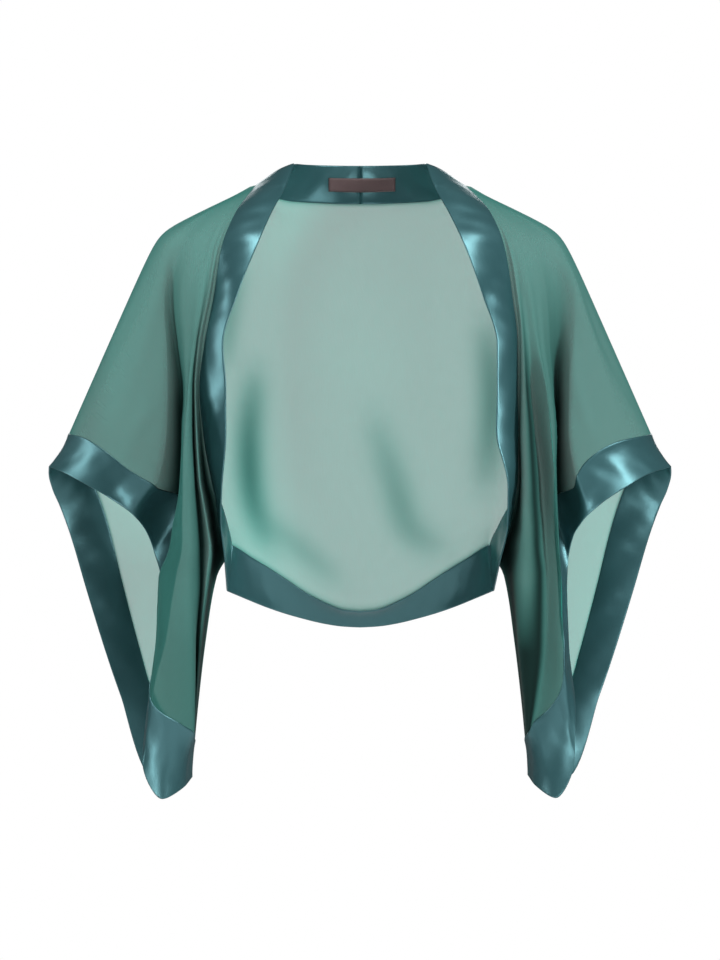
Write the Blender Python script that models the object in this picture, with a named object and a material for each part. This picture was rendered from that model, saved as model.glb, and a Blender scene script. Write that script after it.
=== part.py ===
"""Bolero jacket of sheer chiffon with satin borders, filled out as worn with no wearer.

The jacket is cut in a back and two fronts, each with its half of the wide kimono sleeves in
one piece. A satin border runs round the neck and down each front, another round the back hem,
and a third round each sleeve. +Z is up and the front faces -Y, so the wearer's right is at -X.
The origin is on the wearer's shoulder line, midway between the two sides of the neck.

Every wall is first laid out in mm as a thin sheet of points. Sheets that are sewn together
share the points of their seam, and each is then thickened and drawn back from the seam.
"""

import bpy
import numpy as np

MM = 0.001
CHIFFON_WALL = 1.0
SATIN_WALL = 1.6
LABEL_WALL = 1.0
SEAM_GAP = 0.3
# Where the pieces at a seam meet at a sharp angle, each keeps its own direction and stands
# further off: how alike their directions have to be, and the distance in mm.
SHARP_SEAM = 0.62
SHARP_GAP = 1.1
# The distance where four pieces meet, at the lower end of each front.
CORNER_GAP = 2.2
# Limits how far a sharp corner of a piece is drawn back.
SHARPEST_CORNER = 0.3

# The line over the shoulder and down the top of the arm, out from the middle and up, in mm.
NECK_SIDE = (103.0, 15.0)
NECK_SIDE_FORWARD = 2.0
SHOULDER_TIP = (202.0, -31.0)
SLEEVE_TOP = (291.5, -234.5)
SHOULDER_ROUND = 17.0

# Heights of the fold table's columns, in mm.
HEIGHTS = (15, -15, -50, -100, -146, -190, -230, -280, -300, -326, -346, -376, -440, -500, -541)

# The lines that the front's folds follow down the cloth, from the border's seam outwards.
# Each row is one line, at the heights above: how far it lies out from the middle, in mm.
RIGHT_OUT = {
    "seam": (103, 122, 135, 143, 152, 157, 154, 146, 139, 132, 129, 143, 154, 161, 165.0),
    "gap": (104, 124, 138, 146, 155, 159, 157, 152, 147, 143, 142, 148, 156, 162, 165.2),
    "middle_ridge": (105, 126, 141, 149, 158, 162, 161, 158, 155, 151, 149, 152, 159, 163, 165.4),
    "crease": (105, 129, 144, 152, 160, 164, 164, 162, 160, 158, 157, 157, 162, 164, 165.7),
    "roll_inner": (106, 132, 147, 155, 162, 166, 167, 166, 167, 167, 167, 170, 167, 166, 166),
    "roll_outer": (106, 136, 151, 159, 165, 168, 171, 174, 177, 183, 187, 198, 201, 208, 213),
    "drape_ridge": (107, 143, 166, 175, 173, 171, 174, 177, 179, 183, 186, 195, 198, 205, 210),
    "valley": (107, 148, 180, 188, 183, 178, 178, 179, 180, 180, 180, 182, 184, 189, 193),
    "arm": (107, 153, 187, 195, 192, 191, 192, 201, 214, 214, 210, 200, 196, 196, 197),
}
# The same lines: how far forward of the shoulder line they lie, in mm.
RIGHT_FORWARD = {
    "seam": (2, 56, 87, 98, 101, 101, 92, 72, 60, 30, -12, -4, 3, 7, 6),
    "gap": (2, 54, 83, 92, 96, 94, 81, 60, 50, 28, 2, 16, 20, 20, 14),
    "middle_ridge": (2, 53, 86, 100, 104, 105, 104, 98, 90, 74, 62, 54, 50, 42, 26),
    "crease": (2, 52, 84, 99, 103, 99, 89, 78, 70, 58, 50, 46, 45, 42, 32),
    "roll_inner": (2, 51, 86, 103, 108, 113, 118, 120, 120, 117, 114, 104, 94, 74, 46),
    "roll_outer": (2, 50, 84, 104, 108, 117, 124, 127, 125, 120, 116, 106, 94, 78, 66),
    "drape_ridge": (2, 47, 78, 92, 98, 110, 114, 109, 105, 98, 94, 82, 70, 58, 52),
    "valley": (2, 44, 66, 54, 44, 36, 28, 22, 21, 20, 20, 20, 24, 34, 40),
    "arm": (2, 42, 64, 62, 63, 64, 63, 60, 59, 57, 56, 50, 46, 44, 44),
}
LEFT_OUT = {
    "seam": (104, 128, 141, 149, 154, 154, 155, 155, 150, 138, 131, 144, 154, 161, 165.0),
    "gap": (104, 130, 144, 152, 157, 157, 157, 158, 156, 150, 145, 149, 156, 162, 165.2),
    "middle_ridge": (105, 132, 147, 155, 159, 160, 160, 161, 161, 162, 162, 161, 160, 164, 165.6),
    "crease": (105, 134, 150, 158, 162, 164, 167, 170, 171, 173, 174, 177, 176, 171, 166.2),
    "roll_inner": (106, 136, 153, 162, 166, 169, 173, 179, 180, 182, 183, 185, 184, 177, 167),
    "roll_outer": (106, 139, 158, 168, 175, 183, 187, 191, 192, 194, 195, 198, 200, 208, 213),
    "drape_ridge": (107, 143, 170, 178, 181, 187, 191, 193, 194, 195, 196, 197, 198, 205, 210),
    "valley": (107, 149, 185, 196, 197, 196, 196, 196, 196, 197, 198, 199, 198, 198, 198),
    "arm": (108, 153, 196, 213, 212, 208, 207, 215, 226, 226, 220, 210, 206, 203, 203),
}
LEFT_FORWARD = {
    "seam": (2, 56, 87, 98, 102, 104, 102, 88, 72, 34, -12, -4, 3, 7, 6),
    "gap": (2, 54, 83, 93, 95, 93, 88, 74, 64, 34, 4, 18, 22, 22, 14),
    "middle_ridge": (2, 53, 86, 101, 108, 114, 118, 116, 112, 104, 94, 86, 78, 62, 36),
    "crease": (2, 52, 84, 100, 108, 116, 120, 120, 119, 117, 114, 104, 92, 72, 44),
    "roll_inner": (2, 51, 84, 100, 104, 98, 92, 92, 93, 95, 96, 92, 82, 66, 50),
    "roll_outer": (2, 50, 82, 100, 106, 115, 120, 122, 121, 117, 114, 106, 94, 78, 64),
    "drape_ridge": (2, 47, 76, 88, 96, 106, 110, 107, 105, 100, 97, 84, 72, 60, 52),
    "valley": (2, 43, 64, 60, 50, 36, 28, 22, 21, 20, 20, 20, 24, 34, 40),
    "arm": (2, 40, 58, 62, 63, 64, 63, 60, 59, 57, 56, 50, 46, 44, 44),
}
FOLD_LINES = 9

# Where the sleeve border's seam crosses the front: a height, and the fold line it is at there.
# Lines 9, 10 and 11 are 30, 60 and 90 degrees round the arm from the line called arm.
RIGHT_CUFF = {
    "height": (-234.5, -237.5, -245.5, -258, -274, -289, -297, -322, -420, -495, -517, -535, -541),
    "line": (11, 10.02, 9.43, 8.95, 8.45, 7.8, 7.0, 6.9, 6.35, 5.0, 4.45, 3.6, 0.0),
}
LEFT_CUFF = {
    "height": (-234.5, -237.5, -241.5, -249, -262, -289, -297, -322, -380, -452, -495, -527, -541),
    "line": (11, 9.95, 9.25, 8.75, 8.3, 7.7, 7.0, 6.9, 6.4, 5.0, 4.55, 3.7, 0.0),
}
TOP_LINE = 11.0
ARM_STEP = 30.0

# The sleeve border's free edge in front, by the height of the seam it hangs from, in mm.
RIGHT_CUFF_EDGE = {
    "seam": (-234.5, -240.5, -251, -266, -288, -303, -322, -366, -415, -462, -495, -517, -535, -541),
    "out": (311, 297, 275, 250, 224, 213, 206, 198, 200, 212, 215, 196, 175, 168),
    "forward": (0, 26, 44, 52, 46, 30, 16, 12, 20, 40, 62, 60, 40, 6),
    "up": (-267, -272, -283, -297, -316, -331, -350, -386, -446, -515, -562, -596, -585, -577),
}
LEFT_CUFF_EDGE = {
    "seam": (-234.5, -240.5, -251, -266, -288, -303, -322, -366, -415, -462, -495, -517, -535, -541),
    "out": (311, 290, 266, 240, 220, 212, 208, 206, 207, 213, 212, 194, 174, 168),
    "forward": (0, 28, 46, 52, 46, 32, 18, 24, 50, 66, 64, 60, 40, 6),
    "up": (-267, -273, -286, -303, -322, -336, -356, -392, -446, -512, -560, -595, -583, -575),
}
# The sleeve border's seam and free edge behind, from the top of the arm to the sleeve's point.
BACK_CUFF = {
    "up": (-234.5, -245, -262, -287, -322, -386, -450, -495, -525, -541),
    "out": (291.5, 287.5, 279, 268, 256, 240, 223, 209, 190, 165),
    "back": (0, 14, 27, 38, 44, 46, 42, 34, 20, -6),
    "edge_out": (311, 312, 309, 302, 292, 275, 256, 240, 206, 168),
    "edge_back": (0, 13, 25, 33, 38, 40, 37, 32, 22, -6),
    "edge_up": (-267, -275, -289, -306, -334, -392, -453, -499, -580, -577),
}

# The front border's free edge, by the height of its seam, in mm.
RIGHT_FRONT_EDGE = {
    "seam": (15, 4, -15, -50, -100, -146, -190, -230, -280, -300, -326, -346),
    "out": (66, 73, 87, 101, 120, 134, 131, 131, 136, 137, 134, 133),
    "forward": (2, 30, 66, 99, 120, 128, 127, 119, 104, 86, 48, -8),
    "up": (36, 14, -15, -49, -98, -147, -191, -232, -294, -320, -360, -391),
}
LEFT_FRONT_EDGE = {
    "seam": (15, 4, -15, -50, -100, -146, -190, -230, -280, -300, -326, -346),
    "out": (66, 73, 88, 103, 120, 134, 134, 133, 145, 145, 138, 134),
    "forward": (2, 30, 66, 99, 122, 127, 129, 127, 118, 98, 54, -8),
    "up": (36, 14, -16, -50, -99, -147, -191, -231, -290, -322, -364, -391),
}
# The border round the back of the neck, from the middle of the back to the side of the neck.
NECK_BORDER = {
    "out": (0, 18, 36, 54, 72, 89, 103),
    "back": (62, 60, 55, 47, 35, 18, -2),
    "up": (0, 0, 0.5, 1, 2, 6, 15),
    "edge_out": (0, 15, 30, 44, 56, 64, 66),
    "edge_back": (54, 52, 47, 40, 29, 14, -2),
    "edge_up": (37, 37, 37, 37, 37, 37, 36),
}
# The border round the back hem, from the middle of the back to the side.
HEM_BORDER = {
    "out": (0, 18, 36, 55, 74, 92, 108, 121, 129),
    "back": (88, 87, 84, 78, 68, 56, 42, 27, 12),
    "up": (-414, -412, -405, -395, -382, -370, -360, -351, -346),
    "edge_out": (0, 19, 38, 58, 78, 97, 113, 126, 134),
    "edge_back": (106, 105, 102, 95, 84, 69, 51, 30, 8),
    "edge_up": (-430, -429, -426, -421, -415, -408, -401, -395, -391),
}

# How far the cloth stands behind the shoulder line, by height, in mm.
BACK_DEPTH = {
    "up": (15, 0, -50, -100, -150, -200, -260, -320, -414, -541),
    "behind": (30, 60, 88, 103, 109, 109, 105, 99, 90, 70),
}
BACK_HALF_WIDTH = 158.0
# How fast the back's fullness fades towards its sides.
BACK_FADE = 1.2
ARM_DEPTH = 48.0
ARM_ROLL = 52.0
BACK_BOTTOM_HOLD = 4
# Soft folds down the back: how far out, which side, how wide and how deep, in mm.
# They reach their depth at this distance below the shoulder line.
FOLD_START = 120.0
BACK_FOLDS = (
    {"across": -120, "slope": 0.10, "half_width": 20, "depth": 3.5},
    {"across": -58, "slope": -0.04, "half_width": 17, "depth": 2.5},
    {"across": 32, "slope": 0.06, "half_width": 15, "depth": 3.0},
    {"across": 84, "slope": 0.08, "half_width": 18, "depth": 2.5},
    {"across": 134, "slope": -0.08, "half_width": 18, "depth": 3.5},
)

# Heights of the rows of points on the fronts, in mm.
SHOULDER_ROWS = (15, 5, -6, -18, -32, -48, -66, -86, -108, -130, -153, -176, -196, -216, -234.5)
MIDDLE_ROWS = (-237.5, -241.5, -246, -252, -259, -267, -277, -289, -297, -308, -322, -334)
SLEEVE_ROWS = (-346, -366, -390, -415, -440, -462, -480, -495, -507, -517, -527, -535, -541)
BACK_ROWS = (
    -234.5, -240, -250, -262, -276, -292, -312, -335, -360, -386,
    -412, -438, -462, -480, -495, -509, -522, -533, -541,
)
LINES_BETWEEN = 2
ARM_COLUMNS = 6
BORDER_COLUMNS = 4
FRONT_PUFF = 3.0
NECK_PUFF = 1.5
HEM_PUFF = 2.0
CUFF_PUFF = 2.0

# The label inside the neck, across and up, in mm.
LABEL_ACROSS = (-32.0, -18.0, 0.0, 18.0, 36.0)
LABEL_UP = (0.28, 0.47, 0.66)

COLOURS = {
    "chiffon": ((0.16, 0.36, 0.34, 1.0), 0.85),
    "satin": ((0.06, 0.16, 0.18, 1.0), 0.35),
    "label": ((0.13, 0.08, 0.08, 1.0), 0.8),
}


def knot_slopes(at, values):
    """Slopes at the knots that keep a curve from overshooting its table."""
    step = np.diff(at)
    rise = np.diff(values, axis=0) / step[:, None]
    inner = np.zeros((len(at) - 2, values.shape[1]))
    same_way = rise[1:] * rise[:-1] > 0
    weight_a = (2 * step[1:] + step[:-1])[:, None]
    weight_b = (step[1:] + 2 * step[:-1])[:, None]
    safe_a = np.where(same_way, rise[:-1], 1.0)
    safe_b = np.where(same_way, rise[1:], 1.0)
    mean = (weight_a + weight_b) / (weight_a / safe_a + weight_b / safe_b)
    inner[same_way] = mean[same_way]
    return np.vstack([rise[:1], inner, rise[-1:]])


def smooth_table(at, values, wanted):
    """Values of a table's columns between its rows, on curves with no overshoot."""
    at = np.asarray(at, float)
    values = np.asarray(values, float).reshape(len(at), -1)
    if at[0] > at[-1]:
        at = at[::-1]
        values = values[::-1]
    slope = knot_slopes(at, values)
    wanted = np.clip(np.atleast_1d(np.asarray(wanted, float)), at[0], at[-1])
    i = np.clip(np.searchsorted(at, wanted, side="right") - 1, 0, len(at) - 2)
    step = (at[i + 1] - at[i])[:, None]
    t = (wanted[:, None] - at[i][:, None]) / step
    return (
        (2 * t**3 - 3 * t**2 + 1) * values[i]
        + (t**3 - 2 * t**2 + t) * step * slope[i]
        + (3 * t**2 - 2 * t**3) * values[i + 1]
        + (t**3 - t**2) * step * slope[i + 1]
    )


def look_up(table, key, wanted, names):
    """Columns of a table of named rows at the wanted values of its key."""
    values = np.column_stack([table[name] for name in names])
    return smooth_table(table[key], values, wanted)


def rounded_path(points, wanted):
    """Points of a smooth curve through the given ones; wanted counts in points from 0."""
    points = np.asarray(points, float)
    gap = np.sqrt(np.linalg.norm(np.diff(points, axis=0), axis=1)).clip(1e-3)
    rise = np.diff(points, axis=0) / gap[:, None]
    before = gap[:-1, None]
    after = gap[1:, None]
    inner = (rise[1:] * before + rise[:-1] * after) / (before + after)
    slope = np.vstack([rise[:1], inner, rise[-1:]])
    wanted = np.asarray(wanted, float)
    i = np.clip(np.floor(wanted).astype(int), 0, len(points) - 2)
    t = (wanted - i)[:, None]
    span = gap[i][:, None]
    return (
        (2 * t**3 - 3 * t**2 + 1) * points[i]
        + (t**3 - 2 * t**2 + t) * span * slope[i]
        + (3 * t**2 - 2 * t**3) * points[i + 1]
        + (t**3 - t**2) * span * slope[i + 1]
    )


def arm_line_out(height):
    """How far out the line over the shoulder and arm lies at a height."""
    neck_out, neck_up = NECK_SIDE
    tip_out, tip_up = SHOULDER_TIP
    end_out, end_up = SLEEVE_TOP
    over_shoulder = neck_out + (height - neck_up) * (tip_out - neck_out) / (tip_up - neck_up)
    down_arm = tip_out + (height - tip_up) * (end_out - tip_out) / (end_up - tip_up)
    # A smooth minimum of the two lines rounds the tip of the shoulder.
    apart = over_shoulder - down_arm
    return (over_shoulder + down_arm - np.sqrt(apart**2 + SHOULDER_ROUND**2)) / 2


def front_row(out, forward, height, lines):
    """Points across one front at a height, at the given counts of fold lines from the seam."""
    across = smooth_table(HEIGHTS, np.column_stack(list(out.values())), height)[0]
    ahead = smooth_table(HEIGHTS, np.column_stack(list(forward.values())), height)[0]
    lines = np.asarray(lines, float)
    folds = np.column_stack([across, ahead])
    on_folds = rounded_path(folds, np.minimum(lines, FOLD_LINES - 1))
    turn = np.radians((lines - (FOLD_LINES - 1)) * ARM_STEP)
    arm_out, arm_ahead = folds[-1]
    reach = arm_line_out(height) - arm_out
    on_arm = np.column_stack([arm_out + reach * np.sin(turn), arm_ahead * np.cos(turn)])
    flat = np.where((lines > FOLD_LINES - 1)[:, None], on_arm, on_folds)
    return np.column_stack([flat[:, 0], -flat[:, 1], np.full(len(lines), float(height))])


def neck_point():
    """The side of the neck, where back, front and border meet."""
    return np.array([NECK_SIDE[0], -NECK_SIDE_FORWARD, NECK_SIDE[1]])


def front_sheet(out, forward, cuff):
    """Rows of points down one front, each cut off where the sleeve border's seam crosses it."""
    fold_columns = np.arange(0, (FOLD_LINES - 1) * LINES_BETWEEN + 1) / LINES_BETWEEN
    arm_columns = np.linspace(FOLD_LINES - 1, TOP_LINE, ARM_COLUMNS + 1)[1:]
    columns = np.concatenate([fold_columns, arm_columns])
    rows = [np.repeat(neck_point()[None], len(columns), axis=0)]
    for height in (SHOULDER_ROWS + MIDDLE_ROWS + SLEEVE_ROWS)[1:]:
        last = TOP_LINE
        if height < SLEEVE_TOP[1]:
            last = look_up(cuff, "height", height, ("line",))[0, 0]
        rows.append(front_row(out, forward, height, np.minimum(columns, last)))
    return np.array(rows)


def patch(top, bottom, left, right, bottom_hold=1):
    """A four-sided net between its four edges; a high hold keeps the bottom's pull near it."""
    across = np.linspace(0, 1, len(top))[None, :, None]
    down = np.linspace(0, 1, len(left))[:, None, None] ** bottom_hold
    ruled = (1 - down) * top[None] + down * bottom[None]
    ruled = ruled + (1 - across) * left[:, None] + across * right[:, None]
    corners = (1 - down) * ((1 - across) * top[0] + across * top[-1])
    corners = corners + down * ((1 - across) * bottom[0] + across * bottom[-1])
    return ruled - corners


def back_depth(across, up):
    """How far behind the shoulder line the back's cloth stands, before its seams are met."""
    behind = look_up(BACK_DEPTH, "up", up.ravel(), ("behind",)).reshape(up.shape)
    out = np.abs(across)
    inward = np.clip(arm_line_out(up) - out, 0, ARM_ROLL) / ARM_ROLL
    roll = np.sqrt(1 - (1 - inward) ** 2)
    middle = np.clip(1 - (out / BACK_HALF_WIDTH) ** 2, 0, 1) ** BACK_FADE
    depth = roll * (ARM_DEPTH + (behind - ARM_DEPTH) * middle)
    below = np.clip(-up / FOLD_START, 0, 1)
    for fold in BACK_FOLDS:
        away = (across - fold["across"] - fold["slope"] * up) / fold["half_width"]
        depth = depth + fold["depth"] * below * np.exp(-(away**2))
    return depth


def back_sheet(side, front):
    """One half of the back, from the middle out, sharing its seam points with the front."""
    shoulder = len(SHOULDER_ROWS)
    neck = np.column_stack([NECK_BORDER["out"], NECK_BORDER["back"], NECK_BORDER["up"]])
    hem = np.column_stack([HEM_BORDER["out"], HEM_BORDER["back"], HEM_BORDER["up"]])
    underarm = front[-len(SLEEVE_ROWS):, 0]
    top = np.vstack([neck[:-1], front[:shoulder, -1]])
    bottom = np.vstack([hem[:-1], underarm])
    seam = look_up(BACK_CUFF, "up", BACK_ROWS, ("out", "back"))
    right = np.column_stack([seam, BACK_ROWS])
    right[0] = top[-1]
    right[-1] = bottom[-1]
    down = np.linspace(0, 1, len(BACK_ROWS))
    left = (1 - down[:, None]) * top[0] + down[:, None] * bottom[0]
    free = back_depth(left[:, 0], left[:, 2])
    left[:, 1] = free + (1 - down) * (top[0, 1] - free[0]) + down * (bottom[0, 1] - free[-1])
    net = patch(top, bottom, left, right)
    free = back_depth(side * net[..., 0], net[..., 2])
    pull = [
        edge[:, 1:2] - met[:, None]
        for edge, met in (
            (top, free[0]), (bottom, free[-1]), (left, free[:, 0]), (right, free[:, -1])
        )
    ]
    net[..., 1] = free + patch(*pull, bottom_hold=BACK_BOTTOM_HOLD)[..., 0]
    return net


def border_sheet(seam, edge, puff, outward):
    """A strip from its seam to its free edge, crowned a little between them."""
    share = np.linspace(0, 1, BORDER_COLUMNS + 1)[None, :, None]
    strip = (1 - share) * seam[:, None] + share * edge[:, None]
    along = np.gradient((seam + edge) / 2, axis=0)
    normal = outward * np.cross(along, edge - seam)
    normal /= np.linalg.norm(normal, axis=1)[:, None]
    return strip + puff * 4 * share * (1 - share) * normal[:, None]


def front_border(front, edge_table):
    """The border from the middle of the back neck, over the shoulder and down to the hem."""
    neck_seam = np.column_stack([NECK_BORDER["out"], NECK_BORDER["back"], NECK_BORDER["up"]])
    names = ("edge_out", "edge_back", "edge_up")
    neck_edge = np.column_stack([NECK_BORDER[name] for name in names])
    down = len(SHOULDER_ROWS) + len(MIDDLE_ROWS) + 1
    seam = front[:down, 0]
    heights = (SHOULDER_ROWS + MIDDLE_ROWS + SLEEVE_ROWS)[:down]
    edge = look_up(edge_table, "seam", heights, ("out", "forward", "up"))
    edge[:, 1] *= -1
    seam = np.vstack([neck_seam[:-1], seam])
    edge = np.vstack([neck_edge[:-1], edge])
    puff = np.full((len(seam), 1, 1), FRONT_PUFF)
    puff[: len(neck_seam)] = NECK_PUFF
    puff[-3:] = 0
    strip = border_sheet(seam, edge, puff, -1)
    strip[0, :, 0] = 0
    return strip


def hem_border(last_edge):
    """One half of the border round the back hem, from the middle to the side."""
    seam = np.column_stack([HEM_BORDER["out"], HEM_BORDER["back"], HEM_BORDER["up"]])
    names = ("edge_out", "edge_back", "edge_up")
    edge = np.column_stack([HEM_BORDER[name] for name in names])
    puff = np.full((len(seam), 1, 1), HEM_PUFF)
    puff[-2:] = 0
    strip = border_sheet(seam, edge, puff, 1)
    strip[0, :, 0] = 0
    strip[-1] = last_edge
    return strip


def cuff_border(front, back, edge_table):
    """The border round one sleeve: down its front seam, then up its back seam."""
    first = len(SHOULDER_ROWS) - 1
    front_seam = front[first:, -1]
    heights = (SHOULDER_ROWS + MIDDLE_ROWS + SLEEVE_ROWS)[first:]
    front_edge = look_up(edge_table, "seam", heights, ("out", "forward", "up"))
    front_edge[:, 1] *= -1
    back_seam = back[:, -1]
    names = ("edge_out", "edge_back", "edge_up")
    back_edge = look_up(BACK_CUFF, "up", BACK_ROWS, names)
    seam = np.vstack([front_seam, back_seam[-2:0:-1]])
    edge = np.vstack([front_edge, back_edge[-2:0:-1]])
    looped = border_sheet(
        np.vstack([seam[-1:], seam, seam[:1]]),
        np.vstack([edge[-1:], edge, edge[:1]]),
        CUFF_PUFF,
        -1,
    )[1:-1]
    return np.vstack([looped, looped[:1]])


def mirrored(net, side):
    """The net moved to its side of the body."""
    return net * np.array([side, 1.0, 1.0])


class Cloth:
    """All the sheets of one garment, with the points of shared seams held once."""

    def __init__(self):
        self.points = []
        self.index = {}
        self.pieces = {}

    def point(self, place):
        """The number of a point, added when it is new."""
        key = tuple(np.round(place, 3) + 0.0)
        if key not in self.index:
            self.index[key] = len(self.points)
            self.points.append(place)
        return self.index[key]

    def add(self, name, net, flip):
        """Adds a net of points to a piece as faces, with no repeated corners."""
        faces = self.pieces.setdefault(name, [])
        number = np.array([[self.point(place) for place in row] for row in net])
        for row in range(len(net) - 1):
            for column in range(len(net[0]) - 1):
                corners = [
                    number[row, column],
                    number[row, column + 1],
                    number[row + 1, column + 1],
                    number[row + 1, column],
                ]
                kept = []
                for corner in corners:
                    if corner not in kept:
                        kept.append(int(corner))
                for face in self.cut(kept):
                    faces.append(face[::-1] if flip else face)

    def cut(self, corners):
        """A face as triangles, a four-sided one cut along its shorter diagonal."""
        if len(corners) < 4:
            return [corners] if len(corners) == 3 else []
        a, b, c, d = corners
        place = self.points
        if np.linalg.norm(place[a] - place[c]) <= np.linalg.norm(place[b] - place[d]):
            return [[a, b, c], [a, c, d]]
        return [[a, b, d], [b, c, d]]

    def piece_normals(self, faces):
        """The outward direction at each point of a piece: its faces there, by their angle."""
        points = np.array(self.points)
        total = np.zeros_like(points)
        for face in faces:
            corners = points[face]
            ahead = np.roll(corners, -1, axis=0) - corners
            behind = np.roll(corners, 1, axis=0) - corners
            across = np.cross(ahead, behind)
            area = np.linalg.norm(across, axis=1)
            angle = np.arctan2(area, np.einsum("ij,ij->i", ahead, behind))
            total[face] += across * (angle / area)[:, None]
        length = np.linalg.norm(total, axis=1)
        return total / np.where(length > 0, length, 1.0)[:, None]

    def walls(self):
        """For each piece, its points' outward directions and how far its edges draw back."""
        own = {name: self.piece_normals(faces) for name, faces in self.pieces.items()}
        shared = sum(own.values())
        shared /= np.linalg.norm(shared, axis=1)[:, None]
        worst = np.ones(len(shared))
        meeting = np.zeros(len(shared))
        for normals in own.values():
            used = np.linalg.norm(normals, axis=1) > 0
            meeting += used
            agree = np.einsum("ij,ij->i", normals, shared)
            worst = np.where(used, np.minimum(worst, agree), worst)
        sharp = worst < SHARP_SEAM
        gap = np.where(sharp, SHARP_GAP, SEAM_GAP / 2)
        gap = np.where(meeting >= 4, CORNER_GAP, gap)
        return {
            name: (np.where(sharp[:, None], normals, shared), gap)
            for name, normals in own.items()
        }


def drawn_back(points, normals, faces, gap):
    """Where a piece's points go when its edges are drawn back by each point's gap."""
    edges = {}
    for face in faces:
        for a, b in zip(face, face[1:] + face[:1]):
            edges[(a, b)] = True
    rim = [(a, b) for a, b in edges if (b, a) not in edges]
    inward = {}
    for a, b in rim:
        along = points[b] - points[a]
        for corner in (a, b):
            way = np.cross(normals[corner], along)
            inward.setdefault(corner, []).append(way / np.linalg.norm(way))
    moved = points.copy()
    for corner, ways in inward.items():
        if len(ways) == 2:
            share = max(1 + float(ways[0] @ ways[1]), SHARPEST_CORNER)
            moved[corner] += gap[corner] * (ways[0] + ways[1]) / share
        else:
            moved[corner] += gap[corner] * np.mean(ways, axis=0)
    return moved, rim


def thicken(points, normals, gap, faces, wall):
    """A closed wall round a sheet of faces, half of it to each side."""
    moved, rim = drawn_back(points, normals, faces, gap)
    used = sorted({corner for face in faces for corner in face})
    place = {corner: i for i, corner in enumerate(used)}
    outer = moved[used] + normals[used] * wall / 2
    inner = moved[used] - normals[used] * wall / 2
    count = len(used)
    solid = []
    for face in faces:
        solid.append([place[corner] for corner in face])
        solid.append([place[corner] + count for corner in face[::-1]])
    # Both walls at a seam cut their edge faces along the same diagonal.
    for a, b in rim:
        start, end = place[a], place[b]
        if a < b:
            solid.append([end, start, start + count])
            solid.append([end, start + count, end + count])
        else:
            solid.append([end, start, end + count])
            solid.append([start, start + count, end + count])
    return np.vstack([outer, inner]), solid


def make_material(name, kind):
    """A plain material of the kind's colour and roughness."""
    colour, roughness = COLOURS[kind]
    material = bpy.data.materials.new(name)
    material.use_nodes = True
    shader = material.node_tree.nodes["Principled BSDF"]
    shader.inputs["Base Color"].default_value = colour
    shader.inputs["Roughness"].default_value = roughness
    shader.inputs["Metallic"].default_value = 0.0
    material.diffuse_color = colour
    return material


def make_object(name, corners, faces, kind, collection):
    """A named object of the given mesh, with a material of its own."""
    mesh = bpy.data.meshes.new(name)
    mesh.from_pydata((corners * MM).tolist(), [], faces)
    mesh.update()
    thing = bpy.data.objects.new(name, mesh)
    mesh.materials.append(make_material(name + "_cloth", kind))
    collection.objects.link(thing)
    return thing


def label_sheet(strip_right, strip_left):
    """The label's points, taken from the neck border's inner face."""
    columns = []
    for across in LABEL_ACROSS:
        strip = strip_left if across > 0 else strip_right
        stations = np.array(NECK_BORDER["out"], float)
        i = int(np.clip(np.searchsorted(stations, abs(across)) - 1, 0, len(stations) - 2))
        share = (abs(across) - stations[i]) / (stations[i + 1] - stations[i])
        rib = (1 - share) * strip[i] + share * strip[i + 1]
        along = np.array(LABEL_UP) * BORDER_COLUMNS
        low = np.floor(along).astype(int)
        part = (along - low)[:, None]
        columns.append((1 - part) * rib[low] + part * rib[low + 1])
    return np.array(columns)


def build():
    """Lays out the sheets and makes the pieces from them."""
    cloth = Cloth()
    strips = {}
    tables = {
        "right": (-1, RIGHT_OUT, RIGHT_FORWARD, RIGHT_CUFF, RIGHT_CUFF_EDGE, RIGHT_FRONT_EDGE),
        "left": (1, LEFT_OUT, LEFT_FORWARD, LEFT_CUFF, LEFT_CUFF_EDGE, LEFT_FRONT_EDGE),
    }
    for name, (side, out, forward, cuff, cuff_edge, front_edge) in tables.items():
        front = front_sheet(out, forward, cuff)
        back = back_sheet(side, front)
        border = front_border(front, front_edge)
        hem = hem_border(border[-1])
        sleeve = cuff_border(front, back, cuff_edge)
        right = side < 0
        cloth.add("front_" + name, mirrored(front, side), right)
        cloth.add("back", mirrored(back, side), not right)
        cloth.add("front_band_" + name, mirrored(border, side), not right)
        cloth.add("hem_band", mirrored(hem, side), right)
        cloth.add("cuff_band_" + name, mirrored(sleeve, side), right)
        strips[name] = mirrored(border, side)
    points = np.array(cloth.points)
    walls = cloth.walls()
    collection = bpy.data.collections.new("bolero_jacket")
    bpy.context.scene.collection.children.link(collection)
    for name, faces in cloth.pieces.items():
        satin = "band" in name
        wall = SATIN_WALL if satin else CHIFFON_WALL
        normals, gap = walls[name]
        corners, solid = thicken(points, normals, gap, faces, wall)
        make_object(name, corners, solid, "satin" if satin else "chiffon", collection)
    add_label(strips, collection)


def add_label(strips, collection):
    """The plain woven label, laid on the inner face of the neck border."""
    sheet = Cloth()
    net = label_sheet(strips["right"], strips["left"])
    sheet.add("label", net, False)
    points = np.array(sheet.points)
    normals = sheet.piece_normals(sheet.pieces["label"])
    toward_front = np.where(normals[:, 1:2] > 0, -1.0, 1.0)
    inside = normals * toward_front
    lift = SATIN_WALL / 2 + SEAM_GAP + LABEL_WALL / 2
    points = points + inside * lift
    faces = sheet.pieces["label"]
    if normals[0, 1] > 0:
        faces = [face[::-1] for face in faces]
    no_gap = np.zeros(len(points))
    corners, solid = thicken(points, inside, no_gap, faces, LABEL_WALL)
    make_object("label", corners, solid, "label", collection)


def main():
    """Clears the scene and builds the jacket."""
    for thing in list(bpy.data.objects):
        bpy.data.objects.remove(thing, do_unlink=True)
    build()


if __name__ == "__main__":
    main()
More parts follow.
